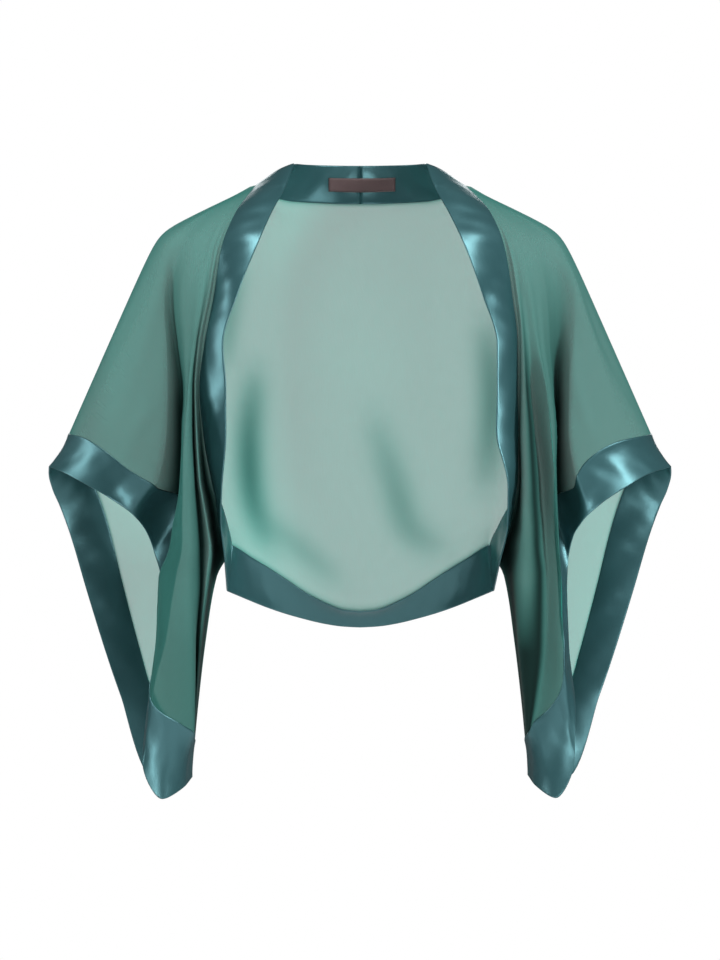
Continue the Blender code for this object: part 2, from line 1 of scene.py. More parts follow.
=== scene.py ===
"""Looks of the sheer bolero jacket with satin borders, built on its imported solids.

The tables of the cloth's shape are those of the solids, in mm: +Z is up, the front faces -Y,
and the wearer's right is at -X. Each panel is laid out much more finely than its solid and
then gets its creases, its seams and its cloth.
"""

import functools

import bmesh
import bpy
import numpy as np
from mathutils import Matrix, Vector


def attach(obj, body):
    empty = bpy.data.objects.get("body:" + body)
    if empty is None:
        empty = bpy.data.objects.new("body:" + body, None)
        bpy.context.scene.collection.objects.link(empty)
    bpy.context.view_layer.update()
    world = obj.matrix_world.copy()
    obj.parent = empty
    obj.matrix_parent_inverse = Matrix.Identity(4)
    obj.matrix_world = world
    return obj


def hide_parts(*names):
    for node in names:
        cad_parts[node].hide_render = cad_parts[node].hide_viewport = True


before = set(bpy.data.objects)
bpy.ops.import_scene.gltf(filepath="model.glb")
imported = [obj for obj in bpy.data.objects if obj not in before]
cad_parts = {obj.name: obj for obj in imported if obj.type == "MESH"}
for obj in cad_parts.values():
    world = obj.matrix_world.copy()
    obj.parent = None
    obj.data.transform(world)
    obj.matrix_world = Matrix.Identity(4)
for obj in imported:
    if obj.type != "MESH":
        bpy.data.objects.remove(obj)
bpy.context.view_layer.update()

bl_info = {
    "name": "Sheer bolero jacket",
    "version": (1, 0, 0),
    "blender": (4, 5, 0),
    "location": "View3D > Sidebar > Jacket",
    "description": "Builds a sheer bolero jacket with satin borders, and a plain stage for it",
    "category": "Add Mesh",
}

MM = 0.001
# How many times finer each step between the tables' points is here than in the solids.
FINER = 5

# The line over the shoulder and down the top of the arm, out from the middle and up, in mm.
NECK_SIDE = (103.0, 15.0)
NECK_SIDE_FORWARD = 2.0
SHOULDER_TIP = (202.0, -31.0)
SLEEVE_TOP = (291.5, -234.5)
SHOULDER_ROUND = 17.0

# Heights of the fold table's columns, in mm.
HEIGHTS = (15, -15, -50, -100, -146, -190, -230, -280, -300, -326, -346, -376, -440, -500, -541)

# The lines that the front's folds follow down the cloth, from the border's seam outwards.
# Each row is one line, at the heights above: how far it lies out from the middle, in mm.
RIGHT_OUT = {
    "seam": (103, 122, 135, 143, 152, 157, 154, 146, 139, 132, 129, 143, 154, 161, 165.0),
    "gap": (104, 124, 138, 146, 155, 159, 157, 152, 147, 143, 142, 148, 156, 162, 165.2),
    "middle_ridge": (105, 126, 141, 149, 158, 162, 161, 158, 155, 151, 149, 152, 159, 163, 165.4),
    "crease": (105, 129, 144, 152, 160, 164, 164, 162, 160, 158, 157, 157, 162, 164, 165.7),
    "roll_inner": (106, 132, 147, 155, 162, 166, 167, 166, 167, 167, 167, 170, 167, 166, 166),
    "roll_outer": (106, 136, 151, 159, 165, 168, 171, 174, 177, 183, 187, 198, 201, 208, 213),
    "drape_ridge": (107, 143, 166, 175, 173, 171, 174, 177, 179, 183, 186, 195, 198, 205, 210),
    "valley": (107, 148, 180, 188, 183, 178, 178, 179, 180, 180, 180, 182, 184, 189, 193),
    "arm": (107, 153, 187, 195, 192, 191, 192, 201, 214, 214, 210, 200, 196, 196, 197),
}
# The same lines: how far forward of the shoulder line they lie, in mm.
RIGHT_FORWARD = {
    "seam": (2, 56, 87, 98, 101, 101, 92, 72, 60, 30, -12, -4, 3, 7, 6),
    "gap": (2, 54, 83, 92, 96, 94, 81, 60, 50, 28, 2, 16, 20, 20, 14),
    "middle_ridge": (2, 53, 86, 100, 104, 105, 104, 98, 90, 74, 62, 54, 50, 42, 26),
    "crease": (2, 52, 84, 99, 103, 99, 89, 78, 70, 58, 50, 46, 45, 42, 32),
    "roll_inner": (2, 51, 86, 103, 108, 113, 118, 120, 120, 117, 114, 104, 94, 74, 46),
    "roll_outer": (2, 50, 84, 104, 108, 117, 124, 127, 125, 120, 116, 106, 94, 78, 66),
    "drape_ridge": (2, 47, 78, 92, 98, 110, 114, 109, 105, 98, 94, 82, 70, 58, 52),
    "valley": (2, 44, 66, 54, 44, 36, 28, 22, 21, 20, 20, 20, 24, 34, 40),
    "arm": (2, 42, 64, 62, 63, 64, 63, 60, 59, 57, 56, 50, 46, 44, 44),
}
LEFT_OUT = {
    "seam": (104, 128, 141, 149, 154, 154, 155, 155, 150, 138, 131, 144, 154, 161, 165.0),
    "gap": (104, 130, 144, 152, 157, 157, 157, 158, 156, 150, 145, 149, 156, 162, 165.2),
    "middle_ridge": (105, 132, 147, 155, 159, 160, 160, 161, 161, 162, 162, 161, 160, 164, 165.6),
    "crease": (105, 134, 150, 158, 162, 164, 167, 170, 171, 173, 174, 177, 176, 171, 166.2),
    "roll_inner": (106, 136, 153, 162, 166, 169, 173, 179, 180, 182, 183, 185, 184, 177, 167),
    "roll_outer": (106, 139, 158, 168, 175, 183, 187, 191, 192, 194, 195, 198, 200, 208, 213),
    "drape_ridge": (107, 143, 170, 178, 181, 187, 191, 193, 194, 195, 196, 197, 198, 205, 210),
    "valley": (107, 149, 185, 196, 197, 196, 196, 196, 196, 197, 198, 199, 198, 198, 198),
    "arm": (108, 153, 196, 213, 212, 208, 207, 215, 226, 226, 220, 210, 206, 203, 203),
}
LEFT_FORWARD = {
    "seam": (2, 56, 87, 98, 102, 104, 102, 88, 72, 34, -12, -4, 3, 7, 6),
    "gap": (2, 54, 83, 93, 95, 93, 88, 74, 64, 34, 4, 18, 22, 22, 14),
    "middle_ridge": (2, 53, 86, 101, 108, 114, 118, 116, 112, 104, 94, 86, 78, 62, 36),
    "crease": (2, 52, 84, 100, 108, 116, 120, 120, 119, 117, 114, 104, 92, 72, 44),
    "roll_inner": (2, 51, 84, 100, 104, 98, 92, 92, 93, 95, 96, 92, 82, 66, 50),
    "roll_outer": (2, 50, 82, 100, 106, 115, 120, 122, 121, 117, 114, 106, 94, 78, 64),
    "drape_ridge": (2, 47, 76, 88, 96, 106, 110, 107, 105, 100, 97, 84, 72, 60, 52),
    "valley": (2, 43, 64, 60, 50, 36, 28, 22, 21, 20, 20, 20, 24, 34, 40),
    "arm": (2, 40, 58, 62, 63, 64, 63, 60, 59, 57, 56, 50, 46, 44, 44),
}
FOLD_LINES = 9

# Where the sleeve border's seam crosses the front: a height, and the fold line it is at there.
# Lines 9, 10 and 11 are 30, 60 and 90 degrees round the arm from the line called arm.
RIGHT_CUFF = {
    "height": (-234.5, -237.5, -245.5, -258, -274, -289, -297, -322, -420, -495, -517, -535, -541),
    "line": (11, 10.02, 9.43, 8.95, 8.45, 7.8, 7.0, 6.9, 6.35, 5.0, 4.45, 3.6, 0.0),
}
LEFT_CUFF = {
    "height": (-234.5, -237.5, -241.5, -249, -262, -289, -297, -322, -380, -452, -495, -527, -541),
    "line": (11, 9.95, 9.25, 8.75, 8.3, 7.7, 7.0, 6.9, 6.4, 5.0, 4.55, 3.7, 0.0),
}
TOP_LINE = 11.0
ARM_STEP = 30.0

# The sleeve border's free edge in front, by the height of the seam it hangs from, in mm.
CUFF_SEAM = (-234.5, -240.5, -251, -266, -288, -303, -322, -366, -415, -462, -495, -517, -535, -541)
RIGHT_CUFF_EDGE = {
    "seam": CUFF_SEAM,
    "out": (311, 297, 275, 250, 224, 213, 206, 198, 200, 212, 215, 196, 175, 168),
    "forward": (0, 26, 44, 52, 46, 30, 16, 12, 20, 40, 62, 60, 40, 6),
    "up": (-267, -272, -283, -297, -316, -331, -350, -386, -446, -515, -562, -596, -585, -577),
}
LEFT_CUFF_EDGE = {
    "seam": CUFF_SEAM,
    "out": (311, 290, 266, 240, 220, 212, 208, 206, 207, 213, 212, 194, 174, 168),
    "forward": (0, 28, 46, 52, 46, 32, 18, 24, 50, 66, 64, 60, 40, 6),
    "up": (-267, -273, -286, -303, -322, -336, -356, -392, -446, -512, -560, -595, -583, -575),
}
# The sleeve border's seam and free edge behind, from the top of the arm to the sleeve's point.
BACK_CUFF = {
    "up": (-234.5, -245, -262, -287, -322, -386, -450, -495, -525, -541),
    "out": (291.5, 287.5, 279, 268, 256, 240, 223, 209, 190, 165),
    "back": (0, 14, 27, 38, 44, 46, 42, 34, 20, -6),
    "edge_out": (311, 312, 309, 302, 292, 275, 256, 240, 206, 168),
    "edge_back": (0, 13, 25, 33, 38, 40, 37, 32, 22, -6),
    "edge_up": (-267, -275, -289, -306, -334, -392, -453, -499, -580, -577),
}

# The front border's free edge, by the height of its seam, in mm.
FRONT_SEAM = (15, 4, -15, -50, -100, -146, -190, -230, -280, -300, -326, -346)
RIGHT_FRONT_EDGE = {
    "seam": FRONT_SEAM,
    "out": (66, 73, 87, 101, 120, 134, 131, 131, 136, 137, 134, 133),
    "forward": (2, 30, 66, 99, 120, 128, 127, 119, 104, 86, 48, -8),
    "up": (36, 14, -15, -49, -98, -147, -191, -232, -294, -320, -360, -391),
}
LEFT_FRONT_EDGE = {
    "seam": FRONT_SEAM,
    "out": (66, 73, 88, 103, 120, 134, 134, 133, 145, 145, 138, 134),
    "forward": (2, 30, 66, 99, 122, 127, 129, 127, 118, 98, 54, -8),
    "up": (36, 14, -16, -50, -99, -147, -191, -231, -290, -322, -364, -391),
}
# The border round the back of the neck, from the middle of the back to the side of the neck.
NECK_BORDER = {
    "out": (0, 18, 36, 54, 72, 89, 103),
    "back": (62, 60, 55, 47, 35, 18, -2),
    "up": (0, 0, 0.5, 1, 2, 6, 15),
    "edge_out": (0, 15, 30, 44, 56, 64, 66),
    "edge_back": (54, 52, 47, 40, 29, 14, -2),
    "edge_up": (37, 37, 37, 37, 37, 37, 36),
}
# The border round the back hem, from the middle of the back to the side.
HEM_BORDER = {
    "out": (0, 18, 36, 55, 74, 92, 108, 121, 129),
    "back": (88, 87, 84, 78, 68, 56, 42, 27, 12),
    "up": (-414, -412, -405, -395, -382, -370, -360, -351, -346),
    "edge_out": (0, 19, 38, 58, 78, 97, 113, 126, 134),
    "edge_back": (106, 105, 102, 95, 84, 69, 51, 30, 8),
    "edge_up": (-430, -429, -426, -421, -415, -408, -401, -395, -391),
}

# How far the cloth stands behind the shoulder line, by height, in mm.
BACK_DEPTH = {
    "up": (15, 0, -50, -100, -150, -200, -260, -320, -414, -541),
    "behind": (30, 60, 88, 103, 109, 109, 105, 99, 90, 70),
}
# The rows of a border's table that hold its seam and its free edge.
SEAM_ROWS = ("out", "back", "up")
EDGE_ROWS = ("edge_out", "edge_back", "edge_up")
BACK_HALF_WIDTH = 158.0
# How fast the back's fullness fades towards its sides.
BACK_FADE = 1.2
ARM_DEPTH = 48.0
ARM_ROLL = 52.0
BACK_BOTTOM_HOLD = 4
# Soft folds down the back: how far out, which side, how wide and how deep, in mm.
# They reach their depth at this distance below the shoulder line.
FOLD_START = 120.0
BACK_FOLDS = (
    {"across": -120, "slope": 0.10, "half_width": 20, "depth": 3.5},
    {"across": -58, "slope": -0.04, "half_width": 17, "depth": 2.5},
    {"across": 32, "slope": 0.06, "half_width": 15, "depth": 3.0},
    {"across": 84, "slope": 0.08, "half_width": 18, "depth": 2.5},
    {"across": 134, "slope": -0.08, "half_width": 18, "depth": 3.5},
)

# Heights of the rows of points on the fronts, in mm.
SHOULDER_ROWS = (15, 5, -6, -18, -32, -48, -66, -86, -108, -130, -153, -176, -196, -216, -234.5)
MIDDLE_ROWS = (-237.5, -241.5, -246, -252, -259, -267, -277, -289, -297, -308, -322, -334)
SLEEVE_ROWS = (-346, -366, -390, -415, -440, -462, -480, -495, -507, -517, -527, -535, -541)
BACK_ROWS = (
    -234.5, -240, -250, -262, -276, -292, -312, -335, -360, -386,
    -412, -438, -462, -480, -495, -509, -522, -533, -541,
)
# The label on the neck border: its two ends across, in mm, its lower and upper edge in shares
# of the border's width, its rows of points, and its distance from the border, in mm.
LABEL_ACROSS = (-32.0, 36.0)
LABEL_UP = (0.28, 0.66)
LABEL_COLUMNS = 27
LABEL_ROWS = 9
LABEL_GAP = 0.2

# Where a border's points lie across it, in shares of its width from the seam to the free edge.
# They stand closer near both, where the cloth turns round.
SATIN_SHARES = (
    0.0, 0.006, 0.02, 0.05, 0.11, 0.2, 0.3, 0.4, 0.5, 0.6, 0.7, 0.8, 0.89, 0.95, 0.98, 0.994, 1.0,
)
# How far a border laps over its panel, in mm, and how fast that fades across the border. The
# lap goes straight on from the way between the seam and this one of the points across.
SEAM_LAP = 1.4
LAP_FADE = 4
LAP_POINT = 5
# How far each border bulges between its seam and its edge, in mm, and over how many steps of its
# table it lies flat before its lower end.
PUFFS = {"front": 3.0, "neck": 1.5, "hem": 2.0, "cuff": 2.0}
FLAT_STEPS = {"front": 2, "hem": 1}

# How many points follow a crease, and how it tapers towards its ends, where this share of its
# length is cut off.
CREASE_POINTS = 60
CREASE_TAPER = 0.7
CREASE_END = 0.03
# How near a panel's edges its creases begin to fade, in mm.
FRONT_CREASE_EDGE = 14.0
BACK_CREASE_EDGE = 16.0
# Creases pressed into the fronts. Each follows a path of fold line and height, and is as wide
# and as high, in mm, as it says; a height below nothing is a trough.
RIGHT_CREASES = (
    {"path": ((7.6, -60), (8.4, -110), (8.9, -170), (9.3, -235)), "half_width": 9, "height": 2.2},
    {"path": ((7.9, -40), (9.0, -80), (9.8, -130), (10.3, -190)), "half_width": 11, "height": -1.8},
    {"path": ((8.3, -200), (8.6, -235), (8.6, -262)), "half_width": 7, "height": 2.0},
    {"path": ((6.4, -60), (6.6, -140), (6.5, -230), (6.4, -330)), "half_width": 6, "height": 1.6},
    {"path": ((5.5, -70), (5.4, -150), (5.6, -260), (5.5, -400)), "half_width": 5, "height": -1.6},
    {"path": ((4.4, -90), (4.5, -200), (4.6, -300), (4.5, -430)), "half_width": 5, "height": 1.5},
    {"path": ((1.0, -90), (1.2, -180), (1.4, -280)), "half_width": 3, "height": 0.9},
    {"path": ((6.7, -340), (6.4, -420), (5.6, -480)), "half_width": 7, "height": 2.0},
    {"path": ((5.2, -330), (5.1, -400), (4.6, -500)), "half_width": 6, "height": -2.2},
)
LEFT_CREASES = (
    {"path": ((7.8, -50), (8.6, -100), (9.1, -160), (9.4, -225)), "half_width": 9, "height": 2.4},
    {"path": ((8.1, -60), (9.2, -110), (9.9, -165), (10.4, -215)), "half_width": 10, "height": -2.0},
    {"path": ((7.6, -130), (8.2, -190), (8.5, -240)), "half_width": 6, "height": 2.2},
    {"path": ((6.3, -70), (6.4, -160), (6.3, -260), (6.2, -360)), "half_width": 5, "height": 1.6},
    {"path": ((5.4, -60), (5.5, -150), (5.4, -250), (5.6, -380)), "half_width": 5, "height": -1.5},
    {"path": ((3.6, -110), (3.4, -200), (3.5, -300), (3.6, -420)), "half_width": 6, "height": 1.5},
    {"path": ((2.2, -90), (2.3, -180), (2.4, -290)), "half_width": 4, "height": -1.2},
    {"path": ((6.6, -340), (6.2, -410), (5.4, -470)), "half_width": 7, "height": 1.8},
    {"path": ((4.6, -330), (4.8, -420), (4.4, -500)), "half_width": 6, "height": -1.8},
)
# Where the fronts' cloth is gathered into deep folds, so that many layers lie behind each other and
# shade is painted into its colour: the fold line, how many lines wide, the heights where it begins and
# is deepest, and how strongly.
GATHERS_AND_SHADE = (
    {"line": 0.6, "half_width": 0.7, "from": -250, "full": -330, "amount": 0.9},
    {"line": 1.1, "half_width": 0.5, "from": -110, "full": -260, "amount": 0.97},
    {"line": 3.0, "half_width": 0.45, "from": -70, "full": -190, "amount": 0.95},
    {"line": 2.2, "half_width": 1.5, "from": -380, "full": -450, "amount": 0.95},
    {"line": 7.0, "half_width": 0.55, "from": -60, "full": -210, "amount": 0.98},
    {"line": 4.6, "half_width": 2.4, "from": -40, "full": -170, "amount": 0.3},
)
# How dense the back looks along its seams, and how far in that reaches, in mm.
SEAM_DENSITY = 0.6
SEAM_REACH = 6.0
# Streaks on the back that are made denser and painted darker: painted shade for its soft folds and
# turned sides, and cloth of the sleeves lying behind it. Each has a path across and up, in mm, how wide
# it is to each side, and how dense.
BACK_SHADE_STREAKS = (
    {"path": ((-106, -170), (-112, -240), (-108, -300), (-92, -350)), "half_width": 15, "amount": 0.62},
    {"path": ((-96, -320), (-60, -350), (-20, -385)), "half_width": 14, "amount": 0.2},
    {"path": ((14, -215), (34, -280), (52, -330), (84, -352)), "half_width": 17, "amount": 0.3},
    {"path": ((128, -120), (134, -200), (126, -290)), "half_width": 16, "amount": 0.45},
    {"path": ((-120, -60), (-132, -110), (-138, -170)), "half_width": 12, "amount": 0.3},
)
# Creases in the back, along paths across and up, in mm.
BACK_CREASES = (
    {"path": ((-112, -30), (-120, -120), (-118, -240), (-104, -350)), "half_width": 13, "height": -2.2},
    {"path": ((-60, -20), (-52, -110), (-56, -230), (-72, -340)), "half_width": 12, "height": 1.8},
    {"path": ((26, -190), (30, -270), (38, -340), (46, -395)), "half_width": 9, "height": 1.8},
    {"path": ((8, -230), (14, -310), (16, -380)), "half_width": 10, "height": -1.4},
    {"path": ((70, -60), (88, -150), (92, -260), (80, -350)), "half_width": 12, "height": -2.0},
    {"path": ((150, -70), (175, -150), (205, -230)), "half_width": 14, "height": 3.0},
    {"path": ((130, -80), (150, -180), (170, -300), (178, -420)), "half_width": 12, "height": 3.2},
    {"path": ((-150, -70), (-178, -150), (-210, -235)), "half_width": 14, "height": 3.0},
    {"path": ((-130, -80), (-152, -190), (-168, -300), (-174, -430)), "half_width": 12, "height": 3.4},
    {"path": ((215, -200), (222, -280), (214, -370)), "half_width": 11, "height": -2.4},
    {"path": ((-218, -200), (-226, -290), (-214, -390)), "half_width": 11, "height": -2.4},
)
# How often the back's depth is evened, and how near its edges that fades, in mm.
EVENING_PASSES = 90
EVENING_EDGE = 26.0
# Small puckers along each border's seam, and soft creases across it.
PUCKERS = (
    {"pitch": 23.0, "slant": 0.5, "height": 0.22},
    {"pitch": 61.0, "slant": -0.9, "height": 0.45},
    {"pitch": 137.0, "slant": 0.7, "height": 0.7},
)
# A point within the body's side, from which the fronts' outsides face away, in mm.
BODY_SIDE = (150.0, 0.0, -200.0)
# Points closer than this are joined, in mm.
MERGE_DISTANCE = 0.02

# The cloths' finish: threads a metre, how uneven they are, how strongly they show as a bump, and
# how closely the slow changes of colour follow each other.
FINISHES = {
    "sheer chiffon": {"threads": 2900.0, "slub": 0.4, "bump": 0.12, "clouds": 7.0},
    "glossy satin": {"threads": 1800.0, "slub": 0.2, "bump": 0.08, "clouds": 12.0},
    "woven tape": {"threads": 1500.0, "slub": 0.4, "bump": 0.6, "clouds": 30.0},
}
# Height of a thread's bump in metres, and how long and narrow the thick places of threads are.
THREAD_HEIGHT = 0.0002
SLUB_STRETCH = (900.0, 60.0, 1.0)
# How much of the change of colour comes from the threads, the rest being slow.
THREAD_TINT = 0.35
# How much a layer of chiffon covers more where its threads are thick.
THREAD_COVER = 0.10
# How much of the gaps closes where chiffon is seen along its surface, and how late that comes.
SLANT_COVER = 0.85
SLANT_POWER = 2.2
# How fast the gaps close where chiffon is gathered, how fast painted shade darkens its colour there,
# and the darkest share of that painted shade.
GATHER_COVER_POWER = 2.0
PAINTED_FOLD_SHADE_POWER = 1.4
PAINTED_FOLD_SHADE = 0.1
# Roughness of the smoothest satin, and how much its thick threads add.
SATIN_ROUGHNESS = 0.29
SATIN_UNEVEN = 0.06
LABEL_DEEP = 0.6

# The soft lights: power as a share of the main light's, width and height, and place, in metres.
LIGHTS = (
    ("main_light", 1.0, (0.8, 1.8), (2.6, -2.1, 0.2)),
    ("side_light", 0.5, (0.9, 2.2), (-2.8, -0.6, 0.3)),
    ("front_light", 0.5, (1.4, 0.6), (-0.5, -4.0, -1.9)),
    ("top_light", 0.55, (1.6, 0.8), (0.0, -0.9, 2.2)),
    ("rear_light", 0.35, (2.0, 1.6), (0.0, 2.8, 0.4)),
)
LIGHTS_AIM = (0.0, 0.0, -0.25)
# How bright the surroundings are to the eye, and as light on the cloth.
SURROUNDINGS_SEEN = 1.0
SURROUNDINGS_FELT = 0.1
FLOOR_HALF = 1.6
FLOOR_GREYS = (0.86, 0.9)
FLOOR_CLOUDS = 1.5


def knot_slopes(at, values):
    """Slopes at the knots that keep a curve from overshooting its table."""
    step = np.diff(at)
    rise = np.diff(values, axis=0) / step[:, None]
    inner = np.zeros((len(at) - 2, values.shape[1]))
    same_way = rise[1:] * rise[:-1] > 0
    weight_a = (2 * step[1:] + step[:-1])[:, None]
    weight_b = (step[1:] + 2 * step[:-1])[:, None]
    safe_a = np.where(same_way, rise[:-1], 1.0)
    safe_b = np.where(same_way, rise[1:], 1.0)
    mean = (weight_a + weight_b) / (weight_a / safe_a + weight_b / safe_b)
    inner[same_way] = mean[same_way]
    return np.vstack([rise[:1], inner, rise[-1:]])


def smooth_table(at, values, wanted):
    """Values of a table's columns between its rows, on curves with no overshoot."""
    at = np.asarray(at, float)
    values = np.asarray(values, float).reshape(len(at), -1)
    if at[0] > at[-1]:
        at = at[::-1]
        values = values[::-1]
    slope = knot_slopes(at, values)
    wanted = np.clip(np.atleast_1d(np.asarray(wanted, float)), at[0], at[-1])
    i = np.clip(np.searchsorted(at, wanted, side="right") - 1, 0, len(at) - 2)
    step = (at[i + 1] - at[i])[:, None]
    t = (wanted[:, None] - at[i][:, None]) / step
    return (
        (2 * t**3 - 3 * t**2 + 1) * values[i]
        + (t**3 - 2 * t**2 + t) * step * slope[i]
        + (3 * t**2 - 2 * t**3) * values[i + 1]
        + (t**3 - t**2) * step * slope[i + 1]
    )


def look_up(table, key, wanted, names):
    """Columns of a table of named rows at the wanted values of its key."""
    values = np.column_stack([table[name] for name in names])
    return smooth_table(table[key], values, wanted)


def rounded_path(points, wanted):
    """Points of a smooth curve through the given ones; wanted counts in points from 0."""
    points = np.asarray(points, float)
    gap = np.sqrt(np.linalg.norm(np.diff(points, axis=0), axis=1)).clip(1e-3)
    rise = np.diff(points, axis=0) / gap[:, None]
    before = gap[:-1, None]
    after = gap[1:, None]
    inner = (rise[1:] * before + rise[:-1] * after) / (before + after)
    slope = np.vstack([rise[:1], inner, rise[-1:]])
    wanted = np.asarray(wanted, float)
    i = np.clip(np.floor(wanted).astype(int), 0, len(points) - 2)
    t = (wanted - i)[:, None]
    span = gap[i][:, None]
    return (
        (2 * t**3 - 3 * t**2 + 1) * points[i]
        + (t**3 - 2 * t**2 + t) * span * slope[i]
        + (3 * t**2 - 2 * t**3) * points[i + 1]
        + (t**3 - t**2) * span * slope[i + 1]
    )


def arm_line_out(height):
    """How far out the line over the shoulder and arm lies at a height."""
    neck_out, neck_up = NECK_SIDE
    tip_out, tip_up = SHOULDER_TIP
    end_out, end_up = SLEEVE_TOP
    over_shoulder = neck_out + (height - neck_up) * (tip_out - neck_out) / (tip_up - neck_up)
    down_arm = tip_out + (height - tip_up) * (end_out - tip_out) / (end_up - tip_up)
    # A smooth minimum of the two lines rounds the tip of the shoulder.
    apart = over_shoulder - down_arm
    return (over_shoulder + down_arm - np.sqrt(apart**2 + SHOULDER_ROUND**2)) / 2


def patch(top, bottom, left, right, bottom_hold=1):
    """A four-sided net between its four edges; a high hold keeps the bottom's pull near it."""
    across = np.linspace(0, 1, len(top))[None, :, None]
    down = np.linspace(0, 1, len(left))[:, None, None] ** bottom_hold
    ruled = (1 - down) * top[None] + down * bottom[None]
    ruled = ruled + (1 - across) * left[:, None] + across * right[:, None]
    corners = (1 - down) * ((1 - across) * top[0] + across * top[-1])
    corners = corners + down * ((1 - across) * bottom[0] + across * bottom[-1])
    return ruled - corners


def back_depth(across, up):
    """How far behind the shoulder line the back's cloth stands, before its seams are met."""
    behind = look_up(BACK_DEPTH, "up", up.ravel(), ("behind",)).reshape(up.shape)
    out = np.abs(across)
    inward = np.clip(arm_line_out(up) - out, 0, ARM_ROLL) / ARM_ROLL
    roll = np.sqrt(1 - (1 - inward) ** 2)
    middle = np.clip(1 - (out / BACK_HALF_WIDTH) ** 2, 0, 1) ** BACK_FADE
    depth = roll * (ARM_DEPTH + (behind - ARM_DEPTH) * middle)
    below = np.clip(-up / FOLD_START, 0, 1)
    for fold in BACK_FOLDS:
        away = (across - fold["across"] - fold["slope"] * up) / fold["half_width"]
        depth = depth + fold["depth"] * below * np.exp(-(away**2))
    return depth


def finer_steps(values):
    """The values with each step between them cut into equal smaller ones."""
    at = np.arange((len(values) - 1) * FINER + 1) / FINER
    return np.interp(at, np.arange(len(values)), values)


def finer_curve(table, *names):
    """A smooth curve through the named rows of a table, with each step cut into smaller ones."""
    points = np.column_stack([table[name] for name in names])
    at = np.arange((len(points) - 1) * FINER + 1) / FINER
    return rounded_path(points, at)


FRONT_HEIGHTS = finer_steps(SHOULDER_ROWS + MIDDLE_ROWS + SLEEVE_ROWS)
SHOULDER_COUNT = (len(SHOULDER_ROWS) - 1) * FINER + 1
HEM_ROW = (len(SHOULDER_ROWS) + len(MIDDLE_ROWS)) * FINER
FOLD_COLUMNS = 12
ARM_COLUMNS = 30
# The columns of points on the fronts, in fold lines from the border's seam.
FRONT_LINES = np.concatenate([
    np.linspace(0, FOLD_LINES - 1, (FOLD_LINES - 1) * FOLD_COLUMNS + 1),
    np.linspace(FOLD_LINES - 1, TOP_LINE, ARM_COLUMNS + 1)[1:],
])


def front_points(out, forward, heights, lines):
    """Points on one front at pairs of a height and a count of fold lines from its seam."""
    heights = np.asarray(heights, float)
    lines = np.asarray(lines, float)
    across = smooth_table(HEIGHTS, np.column_stack(list(out.values())), heights)
    ahead = smooth_table(HEIGHTS, np.column_stack(list(forward.values())), heights)
    placed = []
    for i, height in enumerate(heights):
        folds = np.column_stack([across[i], ahead[i]])
        row = lines[i]
        on_folds = rounded_path(folds, np.minimum(row, FOLD_LINES - 1))
        turn = np.radians((row - (FOLD_LINES - 1)) * ARM_STEP)
        arm_out, arm_ahead = folds[-1]
        reach = arm_line_out(height) - arm_out
        on_arm = np.column_stack([arm_out + reach * np.sin(turn), arm_ahead * np.cos(turn)])
        flat = np.where((row > FOLD_LINES - 1)[:, None], on_arm, on_folds)
        up = np.full(len(row), height)
        placed.append(np.column_stack([flat[:, 0], -flat[:, 1], up]))
    return np.array(placed)


def net_normals(net):
    """The direction square to a net at each of its points."""
    down = np.gradient(net, axis=0)
    across = np.gradient(net, axis=1)
    normal = np.cross(down, across)
    length = np.linalg.norm(normal, axis=2, keepdims=True)
    return normal / np.where(length > 1e-9, length, 1.0)


def outward_normals(net):
    """The net's normals, turned to the outside of the body and sleeve."""
    normal = net_normals(net)
    away = net - np.array(BODY_SIDE)
    if (normal * away).sum() < 0:
        normal = -normal
    return normal


def edge_fade(net, width):
    """From 0 at the net's edges to 1 at the width from them, along each row and column."""
    fades = []
    for axis in (0, 1):
        step = np.linalg.norm(np.diff(net, axis=axis), axis=2)
        lead = np.cumsum(step, axis=axis)
        pad = ((1, 0), (0, 0)) if axis == 0 else ((0, 0), (1, 0))
        lead = np.pad(lead, pad)
        total = lead.max(axis=axis, keepdims=True)
        near = np.minimum(lead, total - lead)
        fades.append(np.clip(near / width, 0, 1))
    fade = np.minimum(*fades)
    return fade * fade * (3 - 2 * fade)


def crease_lift(points, path, half_width, height):
    """How far one crease lifts each point of a net, given the points of its path."""
    at = np.linspace(0, len(path) - 1, CREASE_POINTS)
    line = rounded_path(path, at)
    along = np.linspace(0, 1, len(line))
    flat = points.reshape(-1, points.shape[-1])
    nearest = np.full(len(flat), np.inf)
    share = np.zeros(len(flat))
    for place, t in zip(line, along):
        away = np.linalg.norm(flat - place, axis=1)
        closer = away < nearest
        nearest = np.where(closer, away, nearest)
        share = np.where(closer, t, share)
    inner = CREASE_END + share * (1 - 2 * CREASE_END)
    taper = np.sin(np.pi * inner) ** CREASE_TAPER
    lift = height * taper * np.exp(-((nearest / half_width) ** 2))
    return lift.reshape(points.shape[:-1])


